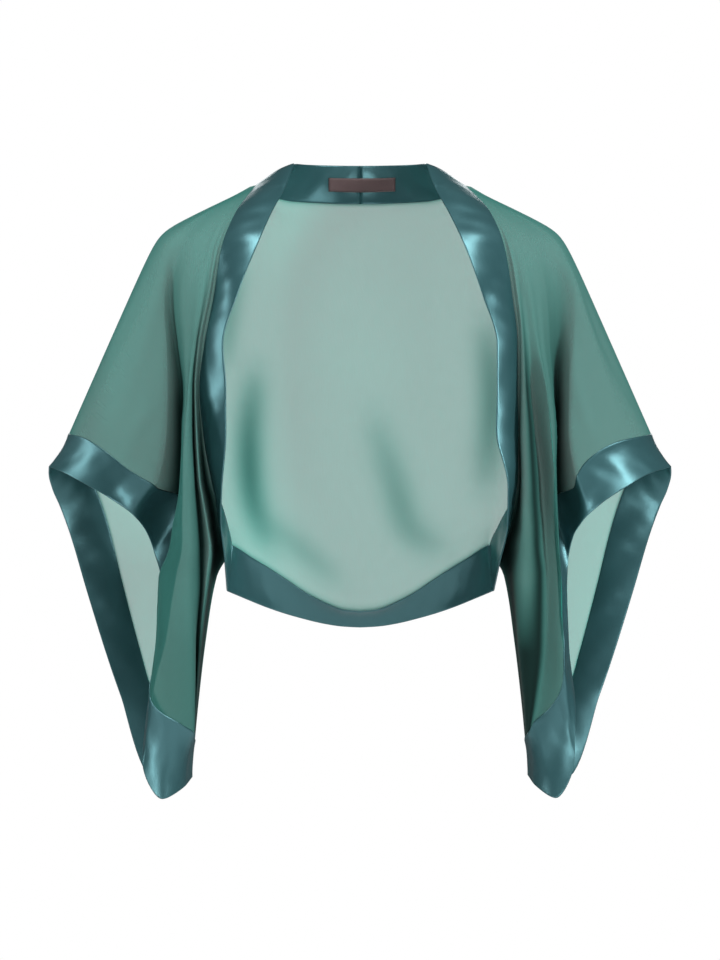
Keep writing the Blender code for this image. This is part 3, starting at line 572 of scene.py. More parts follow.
@functools.lru_cache(maxsize=None)
def sheets(name):
    """Every sheet of one side of the jacket, as nets of points in mm, creases included."""
    side, out, forward, cuff, cuff_edge, front_edge, creases = SIDES[name]
    last = np.where(
        FRONT_HEIGHTS < SLEEVE_TOP[1],
        look_up(cuff, "height", FRONT_HEIGHTS, ("line",))[:, 0],
        TOP_LINE,
    )
    lines = np.minimum(FRONT_LINES[None], last[:, None])
    front = front_points(out, forward, FRONT_HEIGHTS, lines)
    front[0] = (NECK_SIDE[0], -NECK_SIDE_FORWARD, NECK_SIDE[1])
    back = back_sheet(side, front)
    border = front_border(front, front_edge)
    hem = hem_border(border[-1])
    sleeve = cuff_border(front, back, cuff_edge)
    lift = sum(
        crease_lift(
            front,
            np.array([
                front_points(out, forward, [height], [[line]])[0, 0]
                for line, height in crease["path"]
            ]),
            crease["half_width"],
            crease["height"],
        )
        for crease in creases
    )
    lift = lift * edge_fade(front, FRONT_CREASE_EDGE)
    front = front + lift[..., None] * outward_normals(front)
    across_up = np.stack([side * back[..., 0], back[..., 2]], axis=-1)
    lift = sum(
        crease_lift(across_up, np.array(crease["path"], float), crease["half_width"], crease["height"])
        for crease in BACK_CREASES
    )
    back = back.copy()
    back[..., 1] += lift * edge_fade(back, BACK_CREASE_EDGE)
    return {"front": front, "back": back, "border": border, "hem": hem, "sleeve": sleeve}


def front_layers_and_shade():
    """How deeply gathered each point of a front is, from 0 to 1: how densely its cloth lies and how
    much shade is painted into it there.
    """
    open_share = 1.0
    for layers_and_shade in GATHERS_AND_SHADE:
        away = (FRONT_LINES[None] - layers_and_shade["line"]) / layers_and_shade["half_width"]
        below = layers_and_shade["from"] - FRONT_HEIGHTS[:, None]
        deep = np.clip(below / (layers_and_shade["from"] - layers_and_shade["full"]), 0, 1)
        open_share = open_share * (1 - layers_and_shade["amount"] * deep * np.exp(-(away**2)))
    return 1 - open_share


def back_layers_and_shade(net):
    """How densely cloth lies at each of the back's points, from 0 to 1: more at its seams, and more
    along the streaks of painted shade.
    """
    open_share = 1 - SEAM_DENSITY * (1 - edge_fade(net, SEAM_REACH))
    across_up = net[..., [0, 2]]
    for streak in BACK_SHADE_STREAKS:
        path = np.array(streak["path"], float)
        dense = crease_lift(across_up, path, streak["half_width"], streak["amount"])
        open_share = open_share * (1 - dense)
    return 1 - open_share


def back_sheet(side, front):
    """One half of the back, from the middle out, sharing its seam points with the front."""
    neck = finer_curve(NECK_BORDER, *SEAM_ROWS)
    hem = finer_curve(HEM_BORDER, *SEAM_ROWS)
    underarm = front[HEM_ROW:, 0]
    top = np.vstack([neck[:-1], front[:SHOULDER_COUNT, -1]])
    bottom = np.vstack([hem[:-1], underarm])
    heights = finer_steps(BACK_ROWS)
    seam = look_up(BACK_CUFF, "up", heights, ("out", "back"))
    right = np.column_stack([seam, heights])
    right[0] = top[-1]
    right[-1] = bottom[-1]
    down = np.linspace(0, 1, len(heights))
    left = (1 - down[:, None]) * top[0] + down[:, None] * bottom[0]
    free = back_depth(left[:, 0], left[:, 2])
    left[:, 1] = free + (1 - down) * (top[0, 1] - free[0]) + down * (bottom[0, 1] - free[-1])
    net = patch(top, bottom, left, right)
    free = back_depth(side * net[..., 0], net[..., 2])
    pull = [
        edge[:, 1:2] - met[:, None]
        for edge, met in (
            (top, free[0]), (bottom, free[-1]), (left, free[:, 0]), (right, free[:, -1])
        )
    ]
    net[..., 1] = free + patch(*pull, bottom_hold=BACK_BOTTOM_HOLD)[..., 0]
    return net


def border_sheet(seam, edge, puff, outward):
    """A strip from its seam to its free edge, crowned between them and a little puckered.

    The puff is one height for all of it, or one for each point along it.
    """
    shares = np.array(SATIN_SHARES)[None, :, None]
    strip = (1 - shares) * seam[:, None] + shares * edge[:, None]
    middle = (seam + edge) / 2
    along = np.gradient(middle, axis=0)
    normal = outward * np.cross(along, edge - seam)
    normal /= np.linalg.norm(normal, axis=1)[:, None]
    way = np.concatenate([[0], np.cumsum(np.linalg.norm(np.diff(middle, axis=0), axis=1))])
    width = np.linalg.norm(edge - seam, axis=1)[:, None]
    wave = 0
    for pucker in PUCKERS:
        turn = way[:, None] + pucker["slant"] * shares[..., 0] * width
        wave = wave + pucker["height"] * np.sin(2 * np.pi * turn / pucker["pitch"])
    crown = 4 * shares * (1 - shares)
    lift = np.reshape(puff, (-1, 1, 1)) * crown + (wave[..., None] * crown)
    return strip + lift * normal[:, None]


def front_border(front, edge_table):
    """The border from the middle of the back neck, over the shoulder and down to the hem."""
    neck_seam = finer_curve(NECK_BORDER, *SEAM_ROWS)
    neck_edge = finer_curve(NECK_BORDER, *EDGE_ROWS)
    seam = front[: HEM_ROW + 1, 0]
    edge = look_up(edge_table, "seam", FRONT_HEIGHTS[: HEM_ROW + 1], ("out", "forward", "up"))
    edge[:, 1] *= -1
    seam = np.vstack([neck_seam[:-1], seam])
    edge = np.vstack([neck_edge[:-1], edge])
    puff = np.full(len(seam), PUFFS["front"])
    puff[: len(neck_seam)] = PUFFS["neck"]
    strip = border_sheet(seam, edge, fading_puff(puff, FLAT_STEPS["front"]), -1)
    strip[0, :, 0] = 0
    return strip


def fading_puff(puff, flat_steps):
    """The puff along a border, evened out and gone over the last steps of its table."""
    from_end = np.arange(len(puff))[::-1]
    puff = puff * np.clip((from_end - flat_steps * FINER) / FINER, 0, 1)
    kernel = np.hanning(2 * FINER + 3)[1:-1]
    padded = np.pad(puff, FINER, mode="edge")
    return np.convolve(padded, kernel / kernel.sum(), mode="valid")


def hem_border(last_edge):
    """One half of the border round the back hem, from the middle to the side."""
    seam = finer_curve(HEM_BORDER, *SEAM_ROWS)
    edge = finer_curve(HEM_BORDER, *EDGE_ROWS)
    puff = np.full(len(seam), PUFFS["hem"])
    strip = border_sheet(seam, edge, fading_puff(puff, FLAT_STEPS["hem"]), 1)
    strip[0, :, 0] = 0
    strip[-1] = last_edge
    return strip


def cuff_border(front, back, edge_table):
    """The border round one sleeve: down its front seam, then up its back seam."""
    first = SHOULDER_COUNT - 1
    front_seam = front[first:, -1]
    front_edge = look_up(edge_table, "seam", FRONT_HEIGHTS[first:], ("out", "forward", "up"))
    front_edge[:, 1] *= -1
    back_seam = back[:, -1]
    back_edge = look_up(BACK_CUFF, "up", finer_steps(BACK_ROWS), EDGE_ROWS)
    seam = np.vstack([front_seam, back_seam[-2:0:-1]])
    edge = np.vstack([front_edge, back_edge[-2:0:-1]])
    looped = border_sheet(
        np.vstack([seam[-1:], seam, seam[:1]]),
        np.vstack([edge[-1:], edge, edge[:1]]),
        PUFFS["cuff"],
        -1,
    )[1:-1]
    return np.vstack([looped, looped[:1]])


# Each side's sign along X, and its tables.
SIDES = {
    "right": (
        -1, RIGHT_OUT, RIGHT_FORWARD, RIGHT_CUFF, RIGHT_CUFF_EDGE, RIGHT_FRONT_EDGE, RIGHT_CREASES,
    ),
    "left": (
        1, LEFT_OUT, LEFT_FORWARD, LEFT_CUFF, LEFT_CUFF_EDGE, LEFT_FRONT_EDGE, LEFT_CREASES,
    ),
}


def on_side(kind, name):
    """A net of that kind, on its own side of the body."""
    return sheets(name)[kind] * np.array([SIDES[name][0], 1.0, 1.0])


def right_to_left(kind, axis):
    """The nets of both sides as one, joined at the middle of the body."""
    right = np.flip(on_side(kind, "right"), axis)
    left = np.delete(on_side(kind, "left"), 0, axis)
    return np.concatenate([right, left], axis)


def make_mesh(name, net, rings=False, ends=True):
    """A mesh of a net in mm, its UVs the lengths along and across the cloth.

    Each row of a net of rings goes once round the cloth's two layers. A strip that is no loop
    has its two ends closed.
    """
    rows, columns = net.shape[:2]
    steps_down = np.linalg.norm(np.diff(net, axis=0), axis=2)
    steps_across = np.linalg.norm(np.diff(net, axis=1), axis=2)
    down = np.pad(np.cumsum(steps_down, axis=0), ((1, 0), (0, 0)))
    across = np.pad(np.cumsum(steps_across, axis=1), ((0, 0), (1, 0)))
    at = np.stack([across, down], axis=-1).reshape(-1, 2)
    number = np.arange(rows * columns).reshape(rows, columns)
    if rings:
        number = np.concatenate([number, number[:, :1]], axis=1)
    corners = (number[:-1, :-1], number[:-1, 1:], number[1:, 1:], number[1:, :-1])
    faces = np.stack(corners, axis=-1).reshape(-1, 4).tolist()
    if rings and ends:
        for ring in (number[0], number[-1]):
            for i in range(columns // 2):
                around = [int(ring[j]) for j in (i, i + 1, columns - i - 1, columns - i)]
                faces.append(list(dict.fromkeys(around)))
    mesh = bpy.data.meshes.new(name)
    mesh.from_pydata((net.reshape(-1, 3) * MM).tolist(), [], faces)
    layer = mesh.uv_layers.new(name="cloth")
    loop_points = np.empty(len(mesh.loops), int)
    mesh.loops.foreach_get("vertex_index", loop_points)
    layer.data.foreach_set("uv", (at[loop_points] * MM).ravel())
    mesh.polygons.foreach_set("use_smooth", np.ones(len(mesh.polygons), bool))
    return mesh


def mark_layers_and_shade(mesh, layers_and_shade):
    """Stores how deeply gathered the cloth is at each point, for its material, which makes it denser
    and paints shade into it there.
    """
    layer = mesh.attributes.new("layers_and_shade", "FLOAT", "POINT")
    layer.data.foreach_set("value", layers_and_shade.ravel().astype(np.float32))


def finish_mesh(mesh, outside=None):
    """Joins points that lie in one place and turns all the faces one way.

    The outside of an open panel is turned in the direction given.
    """
    cloth = bmesh.new()
    cloth.from_mesh(mesh)
    bmesh.ops.remove_doubles(cloth, verts=cloth.verts, dist=MERGE_DISTANCE * MM)
    bmesh.ops.recalc_face_normals(cloth, faces=cloth.faces)
    if outside:
        facing = sum(face.calc_area() * face.normal.dot(outside) for face in cloth.faces)
        if facing < 0:
            bmesh.ops.reverse_faces(cloth, faces=cloth.faces)
    cloth.to_mesh(mesh)
    cloth.free()


def rings_round(strip, thickness):
    """A border's two layers as rings round its strip, rounded at the fold and the seam."""
    normal = net_normals(strip)
    # A loop's two ends are one place, and turn the same way.
    if np.allclose(strip[0], strip[-1]):
        normal[[0, -1]] = (normal[0] + normal[-1]) / 2
    width = np.linalg.norm(np.diff(strip, axis=1), axis=2).sum(axis=1)[:, None]
    shares = np.array(SATIN_SHARES)[None]
    from_edge = np.minimum(shares, 1 - shares) * width
    inset = np.clip(from_edge / (thickness / 2), 0, 1)
    half = thickness / 2 * np.sqrt(1 - (1 - inset) ** 2)
    outer = strip + half[..., None] * normal
    inner = strip - half[..., None] * normal
    return np.concatenate([outer, inner[:, -2:0:-1]], axis=1)


def lapped(strip):
    """A border widened at its seam, so that it laps over the edge of the panel."""
    first = strip[:, :1]
    way = strip[:, LAP_POINT : LAP_POINT + 1] - first
    way /= np.linalg.norm(way, axis=2, keepdims=True)
    shares = 1 - np.array(SATIN_SHARES)[None, :, None]
    return strip - SEAM_LAP * shares**LAP_FADE * way


def new_group(name, inputs, outputs):
    """An empty shader node group with the named number inputs and outputs."""
    group = bpy.data.node_groups.new(name, "ShaderNodeTree")
    for label, kind, value in inputs:
        socket = group.interface.new_socket(name=label, in_out="INPUT", socket_type=kind)
        if value is not None:
            socket.default_value = value
    for label, kind in outputs:
        group.interface.new_socket(name=label, in_out="OUTPUT", socket_type=kind)
    return group


def add_node(tree, kind, **values):
    """A node with its settings."""
    node = tree.nodes.new(kind)
    for key, value in values.items():
        setattr(node, key, value)
    return node


def math_node(tree, operation, first, second):
    """A math node's result for two sockets or numbers."""
    node = add_node(tree, "ShaderNodeMath", operation=operation)
    for socket, value in zip(node.inputs, (first, second)):
        if isinstance(value, (int, float)):
            socket.default_value = value
        elif value is not None:
            tree.links.new(value, socket)
    return node.outputs[0]


def mix_node(tree, share, first, second):
    """The colour between two colours or sockets, by a share that changes over the surface."""
    node = add_node(tree, "ShaderNodeMix", data_type="RGBA")
    for i, value in ((0, share), (6, first), (7, second)):
        if isinstance(value, tuple):
            node.inputs[i].default_value = value
        else:
            tree.links.new(value, node.inputs[i])
    return node.outputs[2]


def weave_group():
    """Warp and weft threads: a height for bumps, and where the threads are thick."""
    found = bpy.data.node_groups.get("woven threads")
    if found:
        return found
    group = new_group(
        "woven threads",
        [("Place", "NodeSocketVector", None), ("Threads per metre", "NodeSocketFloat", 3000.0),
         ("Slub", "NodeSocketFloat", 0.3)],
        [("Height", "NodeSocketFloat"), ("Slubs", "NodeSocketFloat")],
    )
    start = add_node(group, "NodeGroupInput")
    end = add_node(group, "NodeGroupOutput")
    split = add_node(group, "ShaderNodeSeparateXYZ")
    group.links.new(start.outputs["Place"], split.inputs[0])
    threads = start.outputs["Threads per metre"]
    waves = []
    for axis in ("X", "Y"):
        turns = math_node(group, "MULTIPLY", split.outputs[axis], threads)
        angle = math_node(group, "MULTIPLY", turns, 2 * np.pi)
        waves.append(math_node(group, "SINE", angle, None))
    crossed = math_node(group, "MULTIPLY", waves[0], waves[1])
    stretch = add_node(group, "ShaderNodeMapping")
    stretch.inputs["Scale"].default_value = SLUB_STRETCH
    group.links.new(start.outputs["Place"], stretch.inputs["Vector"])
    slubs = add_node(group, "ShaderNodeTexNoise")
    slubs.inputs["Scale"].default_value = 1.0
    slubs.inputs["Detail"].default_value = 3.0
    group.links.new(stretch.outputs["Vector"], slubs.inputs["Vector"])
    slub = math_node(group, "MULTIPLY", slubs.outputs["Fac"], start.outputs["Slub"])
    height = math_node(group, "ADD", math_node(group, "MULTIPLY", crossed, 0.5), slub)
    group.links.new(height, end.inputs["Height"])
    group.links.new(slubs.outputs["Fac"], end.inputs["Slubs"])
    return group


def clouds_group():
    """Slow changes over the cloth, from dyeing and handling, as one number about 0.5."""
    found = bpy.data.node_groups.get("slow changes")
    if found:
        return found
    group = new_group(
        "slow changes",
        [("Scale", "NodeSocketFloat", 9.0), ("Contrast", "NodeSocketFloat", 1.0)],
        [("Amount", "NodeSocketFloat")],
    )
    start = add_node(group, "NodeGroupInput")
    end = add_node(group, "NodeGroupOutput")
    place = add_node(group, "ShaderNodeTexCoord")
    noise = add_node(group, "ShaderNodeTexNoise")
    noise.inputs["Detail"].default_value = 4.0
    group.links.new(place.outputs["Object"], noise.inputs["Vector"])
    group.links.new(start.outputs["Scale"], noise.inputs["Scale"])
    centred = math_node(group, "SUBTRACT", noise.outputs["Fac"], 0.5)
    spread = math_node(group, "MULTIPLY", centred, start.outputs["Contrast"])
    group.links.new(math_node(group, "ADD", spread, 0.5), end.inputs["Amount"])
    return group


def cloth_material(name, colour, dark):
    """A material with its weave as a bump and its colour changing slowly over the cloth."""
    finish = FINISHES[name]
    material = bpy.data.materials.new(name)
    material.use_nodes = True
    tree = material.node_tree
    shader = tree.nodes["Principled BSDF"]
    place = add_node(tree, "ShaderNodeUVMap", uv_map="cloth")
    weave = add_node(tree, "ShaderNodeGroup", node_tree=weave_group())
    weave.inputs["Threads per metre"].default_value = finish["threads"]
    weave.inputs["Slub"].default_value = finish["slub"]
    tree.links.new(place.outputs["UV"], weave.inputs["Place"])
    clouds = add_node(tree, "ShaderNodeGroup", node_tree=clouds_group())
    clouds.inputs["Scale"].default_value = finish["clouds"]
    quick = math_node(tree, "MULTIPLY", weave.outputs["Slubs"], THREAD_TINT)
    slow = math_node(tree, "MULTIPLY", clouds.outputs["Amount"], 1 - THREAD_TINT)
    blend = math_node(tree, "ADD", quick, slow)
    tint = mix_node(tree, blend, (*dark, 1.0), (*colour, 1.0))
    tree.links.new(tint, shader.inputs["Base Color"])
    raised = add_node(tree, "ShaderNodeBump")
    raised.inputs["Strength"].default_value = finish["bump"]
    raised.inputs["Distance"].default_value = THREAD_HEIGHT
    tree.links.new(weave.outputs["Height"], raised.inputs["Height"])
    tree.links.new(raised.outputs["Normal"], shader.inputs["Normal"])
    return material, shader, weave


def chiffon_material():
    """Sheer crepe chiffon: pale where one layer lies over light, and deeper where more do. Its inside
    is painted brighter for light shining through it, and its gathered folds are painted darker as
    shade.
    """
    colours = bpy.context.scene.jacket_colours
    material, shader, weave = cloth_material("sheer chiffon", colours.chiffon, colours.chiffon_deep)
    tree = material.node_tree
    thick = math_node(tree, "MULTIPLY", weave.outputs["Slubs"], THREAD_COVER)
    cover = math_node(tree, "ADD", thick, colours.chiffon_cover - THREAD_COVER / 2)
    # Seen along the cloth, or where it is gathered, more threads lie behind each other.
    turned = add_node(tree, "ShaderNodeLayerWeight")
    turned.inputs["Blend"].default_value = 0.5
    slanting = math_node(tree, "POWER", turned.outputs["Facing"], SLANT_POWER)
    closed = math_node(tree, "MULTIPLY", slanting, SLANT_COVER)
    layers_and_shade = add_node(tree, "ShaderNodeAttribute", attribute_name="layers_and_shade").outputs["Fac"]
    ungathered = math_node(tree, "SUBTRACT", 1.0, layers_and_shade)
    holes = math_node(tree, "SUBTRACT", 1.0, cover)
    holes = math_node(tree, "MULTIPLY", holes, math_node(tree, "SUBTRACT", 1.0, closed))
    holes = math_node(tree, "MULTIPLY", holes, math_node(tree, "POWER", ungathered, GATHER_COVER_POWER))
    tree.links.new(math_node(tree, "SUBTRACT", 1.0, holes), shader.inputs["Alpha"])
    outer = shader.inputs["Base Color"].links[0].from_socket
    # The inside takes a brighter colour: painted light, for the light that shines through the cloth.
    within = add_node(tree, "ShaderNodeNewGeometry").outputs["Backfacing"]
    both = mix_node(tree, within, outer, (*colours.chiffon_inside_painted_light, 1.0))
    # Painted shade: gathered folds darken towards a tenth of the deeper dye's colour.
    darkest = (*(PAINTED_FOLD_SHADE * part for part in colours.chiffon_deep), 1.0)
    folded = mix_node(tree, math_node(tree, "POWER", layers_and_shade, PAINTED_FOLD_SHADE_POWER), both, darkest)
    tree.links.new(folded, shader.inputs["Base Color"])
    shader.inputs["Roughness"].default_value = 0.85
    shader.inputs["Specular IOR Level"].default_value = 0.12
    return material


def satin_material():
    """Glossy satin: soft bright bands where it turns to the light, and dark away from it."""
    colours = bpy.context.scene.jacket_colours
    material, shader, weave = cloth_material("glossy satin", colours.satin, colours.satin_deep)
    tree = material.node_tree
    uneven = math_node(tree, "MULTIPLY", weave.outputs["Slubs"], SATIN_UNEVEN)
    rough = math_node(tree, "ADD", uneven, SATIN_ROUGHNESS)
    tree.links.new(rough, shader.inputs["Roughness"])
    shader.inputs["Metallic"].default_value = 0.55
    shader.inputs["Specular IOR Level"].default_value = 0.55
    shader.inputs["Anisotropic"].default_value = 0.4
    return material


def label_material():
    """Plain woven tape with fine ribs."""
    colours = bpy.context.scene.jacket_colours
    dark = [LABEL_DEEP * part for part in colours.label]
    material, shader = cloth_material("woven tape", colours.label, dark)[:2]
    shader.inputs["Roughness"].default_value = 0.7
    shader.inputs["Sheen Weight"].default_value = 0.2
    return material


# Each slot's material and what makes it.
CLOTHS = {
    "chiffon": ("sheer chiffon", chiffon_material),
    "satin": ("glossy satin", satin_material),
    "label": ("woven tape", label_material),
}


def place_piece(mesh, node, slot):
    """Puts a piece in the scene in place of its solid, in its slot's cloth, made on first use."""
    name, make = CLOTHS[slot]
    piece = bpy.data.objects.new(mesh.name, mesh)
    mesh.materials.append(bpy.data.materials.get(name) or make())
    bpy.context.scene.collection.objects.link(piece)
    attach(piece, "root")
    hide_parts(node)
    return piece


class JacketColours(bpy.types.PropertyGroup):
    """Colours of the jacket's cloths."""

    chiffon: bpy.props.FloatVectorProperty(
        name="Chiffon", description="Colour of the sheer panels", subtype="COLOR", size=3,
        min=0, max=1, default=(0.043, 0.18, 0.155),
    )
    chiffon_deep: bpy.props.FloatVectorProperty(
        name="Chiffon, deeper", description="Colour of the panels where the dye took deeper",
        subtype="COLOR", size=3, min=0, max=1, default=(0.028, 0.14, 0.122),
    )
    # Painted light: the inside is brighter, for the light that shines through the cloth.
    chiffon_inside_painted_light: bpy.props.FloatVectorProperty(
        name="Chiffon, inside", description="Colour of the panels' inside, lit through the cloth",
        subtype="COLOR", size=3, min=0, max=1, default=(0.03, 0.33, 0.27),
    )
    chiffon_cover: bpy.props.FloatProperty(
        name="Chiffon cover", description="How much of the light one layer stops",
        subtype="FACTOR", min=0, max=1, default=0.7,
    )
    satin: bpy.props.FloatVectorProperty(
        name="Satin", description="Colour of the borders", subtype="COLOR", size=3,
        min=0, max=1, default=(0.05, 0.15, 0.165),
    )
    satin_deep: bpy.props.FloatVectorProperty(
        name="Satin, deeper", description="Colour of the borders where the dye took deeper",
        subtype="COLOR", size=3, min=0, max=1, default=(0.035, 0.115, 0.13),
    )
    label: bpy.props.FloatVectorProperty(
        name="Label", description="Colour of the woven label", subtype="COLOR", size=3,
        min=0, max=1, default=(0.115, 0.068, 0.07),
    )


class JacketSizes(bpy.types.PropertyGroup):
    """Thicknesses of the jacket's cloths."""

    satin_fold: bpy.props.FloatProperty(
        name="Satin fold", description="Thickness of a border's two layers",
        subtype="DISTANCE", unit="LENGTH", min=0.0005, max=0.003, default=0.0016,
    )
    label_thickness: bpy.props.FloatProperty(
        name="Label thickness", description="Thickness of the woven label",
        subtype="DISTANCE", unit="LENGTH", min=0.0003, max=0.002, default=0.0008,
    )


class StageSettings(bpy.types.PropertyGroup):
    """The floor, the lights and the camera."""

    floor_height: bpy.props.FloatProperty(
        name="Floor height", description="Height of the floor below the shoulder line",
        subtype="DISTANCE", unit="LENGTH", min=-3, max=-0.7, default=-1.35,
    )
    camera_distance: bpy.props.FloatProperty(
        name="Camera distance", description="Distance from the camera to the shoulder line",
        subtype="DISTANCE", unit="LENGTH", min=2, max=20, default=6.0,
    )
    camera_height: bpy.props.FloatProperty(
        name="Camera height", description="Height of the camera above the shoulder line",
        subtype="DISTANCE", unit="LENGTH", min=-2, max=2, default=-0.28,
    )
    view_height: bpy.props.FloatProperty(
        name="View height", description="How much the picture takes in from top to bottom",
        subtype="DISTANCE", unit="LENGTH", min=0.3, max=4, default=0.96,
    )
    main_light: bpy.props.FloatProperty(
        name="Main light", description="Power of the main soft light",
        subtype="POWER", unit="POWER", min=0, max=2000, default=95.0,
    )


def evened_across(net):
    """The back with no sharp groove below the sides of the neck: its depth evened row by row."""
    depth = net[..., 1].copy()
    for _ in range(EVENING_PASSES):
        depth[:, 1:-1] = depth[:, 1:-1] / 2 + (depth[:, :-2] + depth[:, 2:]) / 4
    evened = net.copy()
    evened[..., 1] += (depth - net[..., 1]) * edge_fade(net, EVENING_EDGE)
    return evened


def build_back():
    """The back, cut in one with the back halves of both sleeves."""
    net = evened_across(right_to_left("back", 1))
    mesh = make_mesh("chiffon_back", net)
    mark_layers_and_shade(mesh, back_layers_and_shade(net))
    finish_mesh(mesh, outside=Vector((0, 1, 0)))
    piece = place_piece(mesh, "back", "chiffon")


def build_front(name):
    """One front, cut in one with the front half of its sleeve."""
    mesh = make_mesh("chiffon_front_" + name, on_side("front", name))
    mark_layers_and_shade(mesh, front_layers_and_shade())
    finish_mesh(mesh, outside=Vector((0, -1, 0)))
    piece = place_piece(mesh, "front_" + name, "chiffon")


def build_border(name, strip, node, ends=True):
    """A folded satin border round its strip."""
    thickness = bpy.context.scene.jacket_sizes.satin_fold / MM
    mesh = make_mesh(name, rings_round(lapped(strip), thickness), rings=True, ends=ends)
    finish_mesh(mesh)
    piece = place_piece(mesh, node, "satin")


def build_label():
    """The plain label sewn inside the neck."""
    neck_rows = (len(NECK_BORDER["out"]) - 1) * FINER + 1
    up = np.linspace(*LABEL_UP, LABEL_ROWS)
    shares = np.interp(up, SATIN_SHARES, np.arange(len(SATIN_SHARES)))
    columns = []
    for across in np.linspace(*LABEL_ACROSS, LABEL_COLUMNS):
        strip = on_side("border", "left" if across > 0 else "right")[:neck_rows]
        column = []
        for share in shares:
            low = int(share)
            part = share - low
            line = (1 - part) * strip[:, low] + part * strip[:, low + 1]
            at = np.interp(abs(across), np.abs(line[:, 0]), np.arange(len(line)))
            i = min(int(at), len(line) - 2)
            column.append((1 - (at - i)) * line[i] + (at - i) * line[i + 1])
        columns.append(column)
    net = np.array(columns)
    normal = net_normals(net)
    normal *= np.where(normal[..., 1:2] > 0, -1.0, 1.0)
    sizes = bpy.context.scene.jacket_sizes
    lift = sizes.satin_fold / MM / 2 + LABEL_GAP
    front = net + normal * (lift + sizes.label_thickness / MM)
    rear = net + normal * lift
    # The two faces meet at the label's lower and upper edge.
    front[:, [0, -1]] = (front[:, [0, -1]] + rear[:, [0, -1]]) / 2
    ring = np.concatenate([front, rear[:, -2:0:-1]], axis=1)
    mesh = make_mesh("woven_label", ring, rings=True)
    finish_mesh(mesh)
    piece = place_piece(mesh, "label", "label")


class AddFrontBorders(bpy.types.Operator):
    """Adds the satin border round the neck and down both fronts"""

    bl_idname = "jacket.add_front_borders"
    bl_label = "Add front borders"

    def execute(self, context):
        for name in SIDES:
            build_border(
                "satin_front_" + name, on_side("border", name), "front_band_" + name,
            )
        return {"FINISHED"}


class AddPanels(bpy.types.Operator):
    """Adds the sheer back and fronts"""

    bl_idname = "jacket.add_panels"
    bl_label = "Add sheer panels"

    def execute(self, context):
        build_back()
        for name in SIDES:
            build_front(name)
        return {"FINISHED"}


class AddHemBorder(bpy.types.Operator):
    """Adds the satin border round the back hem"""

    bl_idname = "jacket.add_hem_border"
    bl_label = "Add hem border"

    def execute(self, context):
        build_border(
            "satin_hem", right_to_left("hem", 0), "hem_band",
        )
        return {"FINISHED"}


class AddSleeveBorders(bpy.types.Operator):
    """Adds the satin border round the mouth of each sleeve"""

    bl_idname = "jacket.add_sleeve_borders"
    bl_label = "Add sleeve borders"

    def execute(self, context):
        for name in SIDES:
            build_border(
                "satin_sleeve_" + name, on_side("sleeve", name), "cuff_band_" + name,
                ends=False,
            )
        return {"FINISHED"}


class AddLabel(bpy.types.Operator):
    """Adds the plain woven label inside the neck"""

    bl_idname = "jacket.add_label"
    bl_label = "Add label"

    def execute(self, context):
        build_label()
        return {"FINISHED"}


def soft_light(name, power, size, place):
    """A rectangular soft light at a place, aimed at the jacket."""
    lamp = bpy.data.lights.new(name, "AREA")
    lamp.energy = power
    lamp.shape = "RECTANGLE"
    lamp.size, lamp.size_y = size
    light = bpy.data.objects.new(name, lamp)
    light.location = place
    light.rotation_euler = (Vector(LIGHTS_AIM) - Vector(place)).to_track_quat("-Z", "Y").to_euler()
    bpy.context.scene.collection.objects.link(light)


def studio_surroundings():
    """White all round for the eye, and dim as light on the cloth."""
    world = bpy.data.worlds.new("studio")
    bpy.context.scene.world = world
    world.use_nodes = True
    tree = world.node_tree
    seen = tree.nodes["Background"]
    felt = add_node(tree, "ShaderNodeBackground")
    for node, strength in ((seen, SURROUNDINGS_SEEN), (felt, SURROUNDINGS_FELT)):
        node.inputs["Color"].default_value = (1.0, 1.0, 1.0, 1.0)
        node.inputs["Strength"].default_value = strength
    path = add_node(tree, "ShaderNodeLightPath")
    mix = add_node(tree, "ShaderNodeMixShader")
    tree.links.new(path.outputs["Is Camera Ray"], mix.inputs[0])
    tree.links.new(felt.outputs[0], mix.inputs[1])
    tree.links.new(seen.outputs[0], mix.inputs[2])
    tree.links.new(mix.outputs[0], tree.nodes["World Output"].inputs["Surface"])


def floor_material():
    """Pale matt floor, its grey changing a little from place to place."""
    material = bpy.data.materials.new("pale floor")
    material.use_nodes = True
    tree = material.node_tree
    shader = tree.nodes["Principled BSDF"]
    shader.inputs["Roughness"].default_value = 0.9
    clouds = add_node(tree, "ShaderNodeGroup", node_tree=clouds_group())
    clouds.inputs["Scale"].default_value = FLOOR_CLOUDS
    first, second = ((grey, grey, grey, 1.0) for grey in FLOOR_GREYS)
    tint = mix_node(tree, clouds.outputs["Amount"], first, second)
    tree.links.new(tint, shader.inputs["Base Color"])
    return material


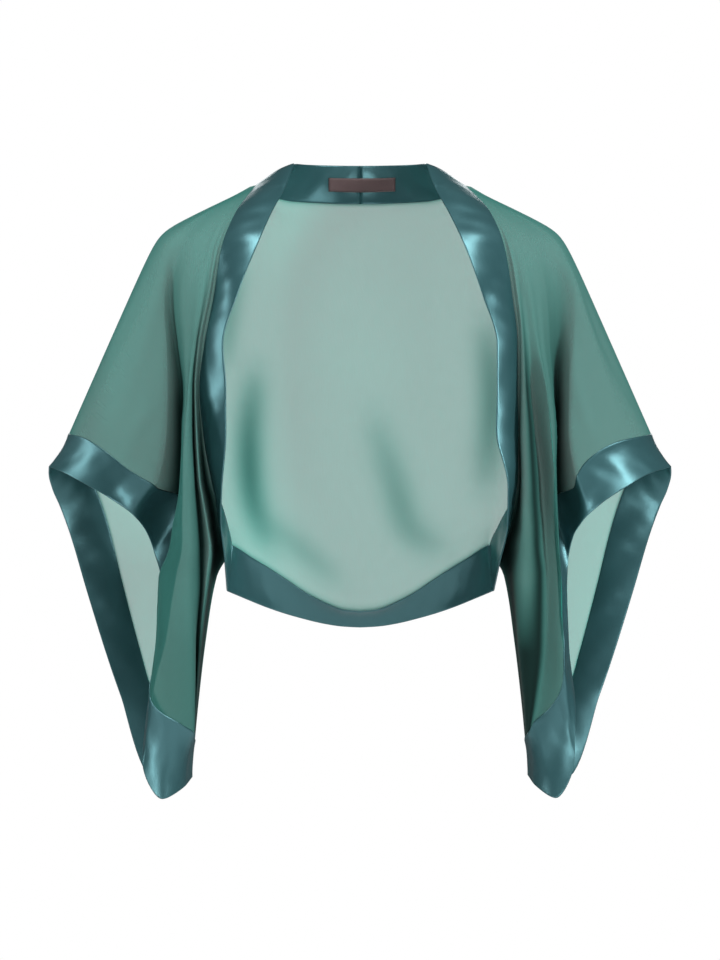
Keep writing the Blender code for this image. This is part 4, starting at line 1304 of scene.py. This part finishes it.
class AddStage(bpy.types.Operator):
    """Adds the floor, the soft lights, the pale surroundings and the camera"""

    bl_idname = "jacket.add_stage"
    bl_label = "Add stage"

    def execute(self, context):
        settings = context.scene.jacket_stage
        corners = ((-1, -1), (1, -1), (1, 1), (-1, 1))
        mesh = bpy.data.meshes.new("floor")
        mesh.from_pydata(
            [(x * FLOOR_HALF, y * FLOOR_HALF, settings.floor_height) for x, y in corners],
            [], [(0, 1, 2, 3)],
        )
        mesh.materials.append(floor_material())
        floor = bpy.data.objects.new("floor", mesh)
        context.scene.collection.objects.link(floor)
        studio_surroundings()
        for name, share, size, place in LIGHTS:
            soft_light(name, settings.main_light * share, size, place)
        camera = bpy.data.cameras.new("camera")
        camera.sensor_fit = "VERTICAL"
        camera.sensor_height = 24.0
        camera.lens = camera.sensor_height * settings.camera_distance / settings.view_height
        camera.clip_end = 100.0
        eye = bpy.data.objects.new("camera", camera)
        eye.location = (0.0, -settings.camera_distance, settings.camera_height)
        eye.rotation_euler = (np.pi / 2, 0.0, 0.0)
        context.scene.collection.objects.link(eye)
        context.scene.camera = eye
        context.scene.view_settings.view_transform = "Standard"
        return {"FINISHED"}


BUTTONS = (AddPanels, AddFrontBorders, AddHemBorder, AddSleeveBorders, AddLabel, AddStage)


class JacketPanel(bpy.types.Panel):
    """Lists the jacket's pieces, sizes and colours"""

    bl_idname = "VIEW3D_PT_jacket"
    bl_label = "Sheer bolero jacket"
    bl_space_type = "VIEW_3D"
    bl_region_type = "UI"
    bl_category = "Jacket"

    def draw(self, context):
        scene = context.scene
        for group in (scene.jacket_colours, scene.jacket_sizes, scene.jacket_stage):
            box = self.layout.box()
            for key in group.__annotations__:
                box.prop(group, key)
        for button in BUTTONS:
            self.layout.operator(button.bl_idname)


CLASSES = (JacketColours, JacketSizes, StageSettings, *BUTTONS, JacketPanel)


def register():
    """Makes the classes known to Blender."""
    for kind in CLASSES:
        bpy.utils.register_class(kind)
    bpy.types.Scene.jacket_colours = bpy.props.PointerProperty(type=JacketColours)
    bpy.types.Scene.jacket_sizes = bpy.props.PointerProperty(type=JacketSizes)
    bpy.types.Scene.jacket_stage = bpy.props.PointerProperty(type=StageSettings)


def unregister():
    """Takes the classes out of Blender again."""
    del bpy.types.Scene.jacket_stage
    del bpy.types.Scene.jacket_sizes
    del bpy.types.Scene.jacket_colours
    for kind in reversed(CLASSES):
        bpy.utils.unregister_class(kind)


def main():
    """Builds the jacket and its stage."""
    register()
    bpy.ops.jacket.add_stage()
    bpy.ops.jacket.add_panels()
    bpy.ops.jacket.add_front_borders()
    bpy.ops.jacket.add_hem_border()
    bpy.ops.jacket.add_sleeve_borders()
    bpy.ops.jacket.add_label()


if __name__ == "__main__":
    main()
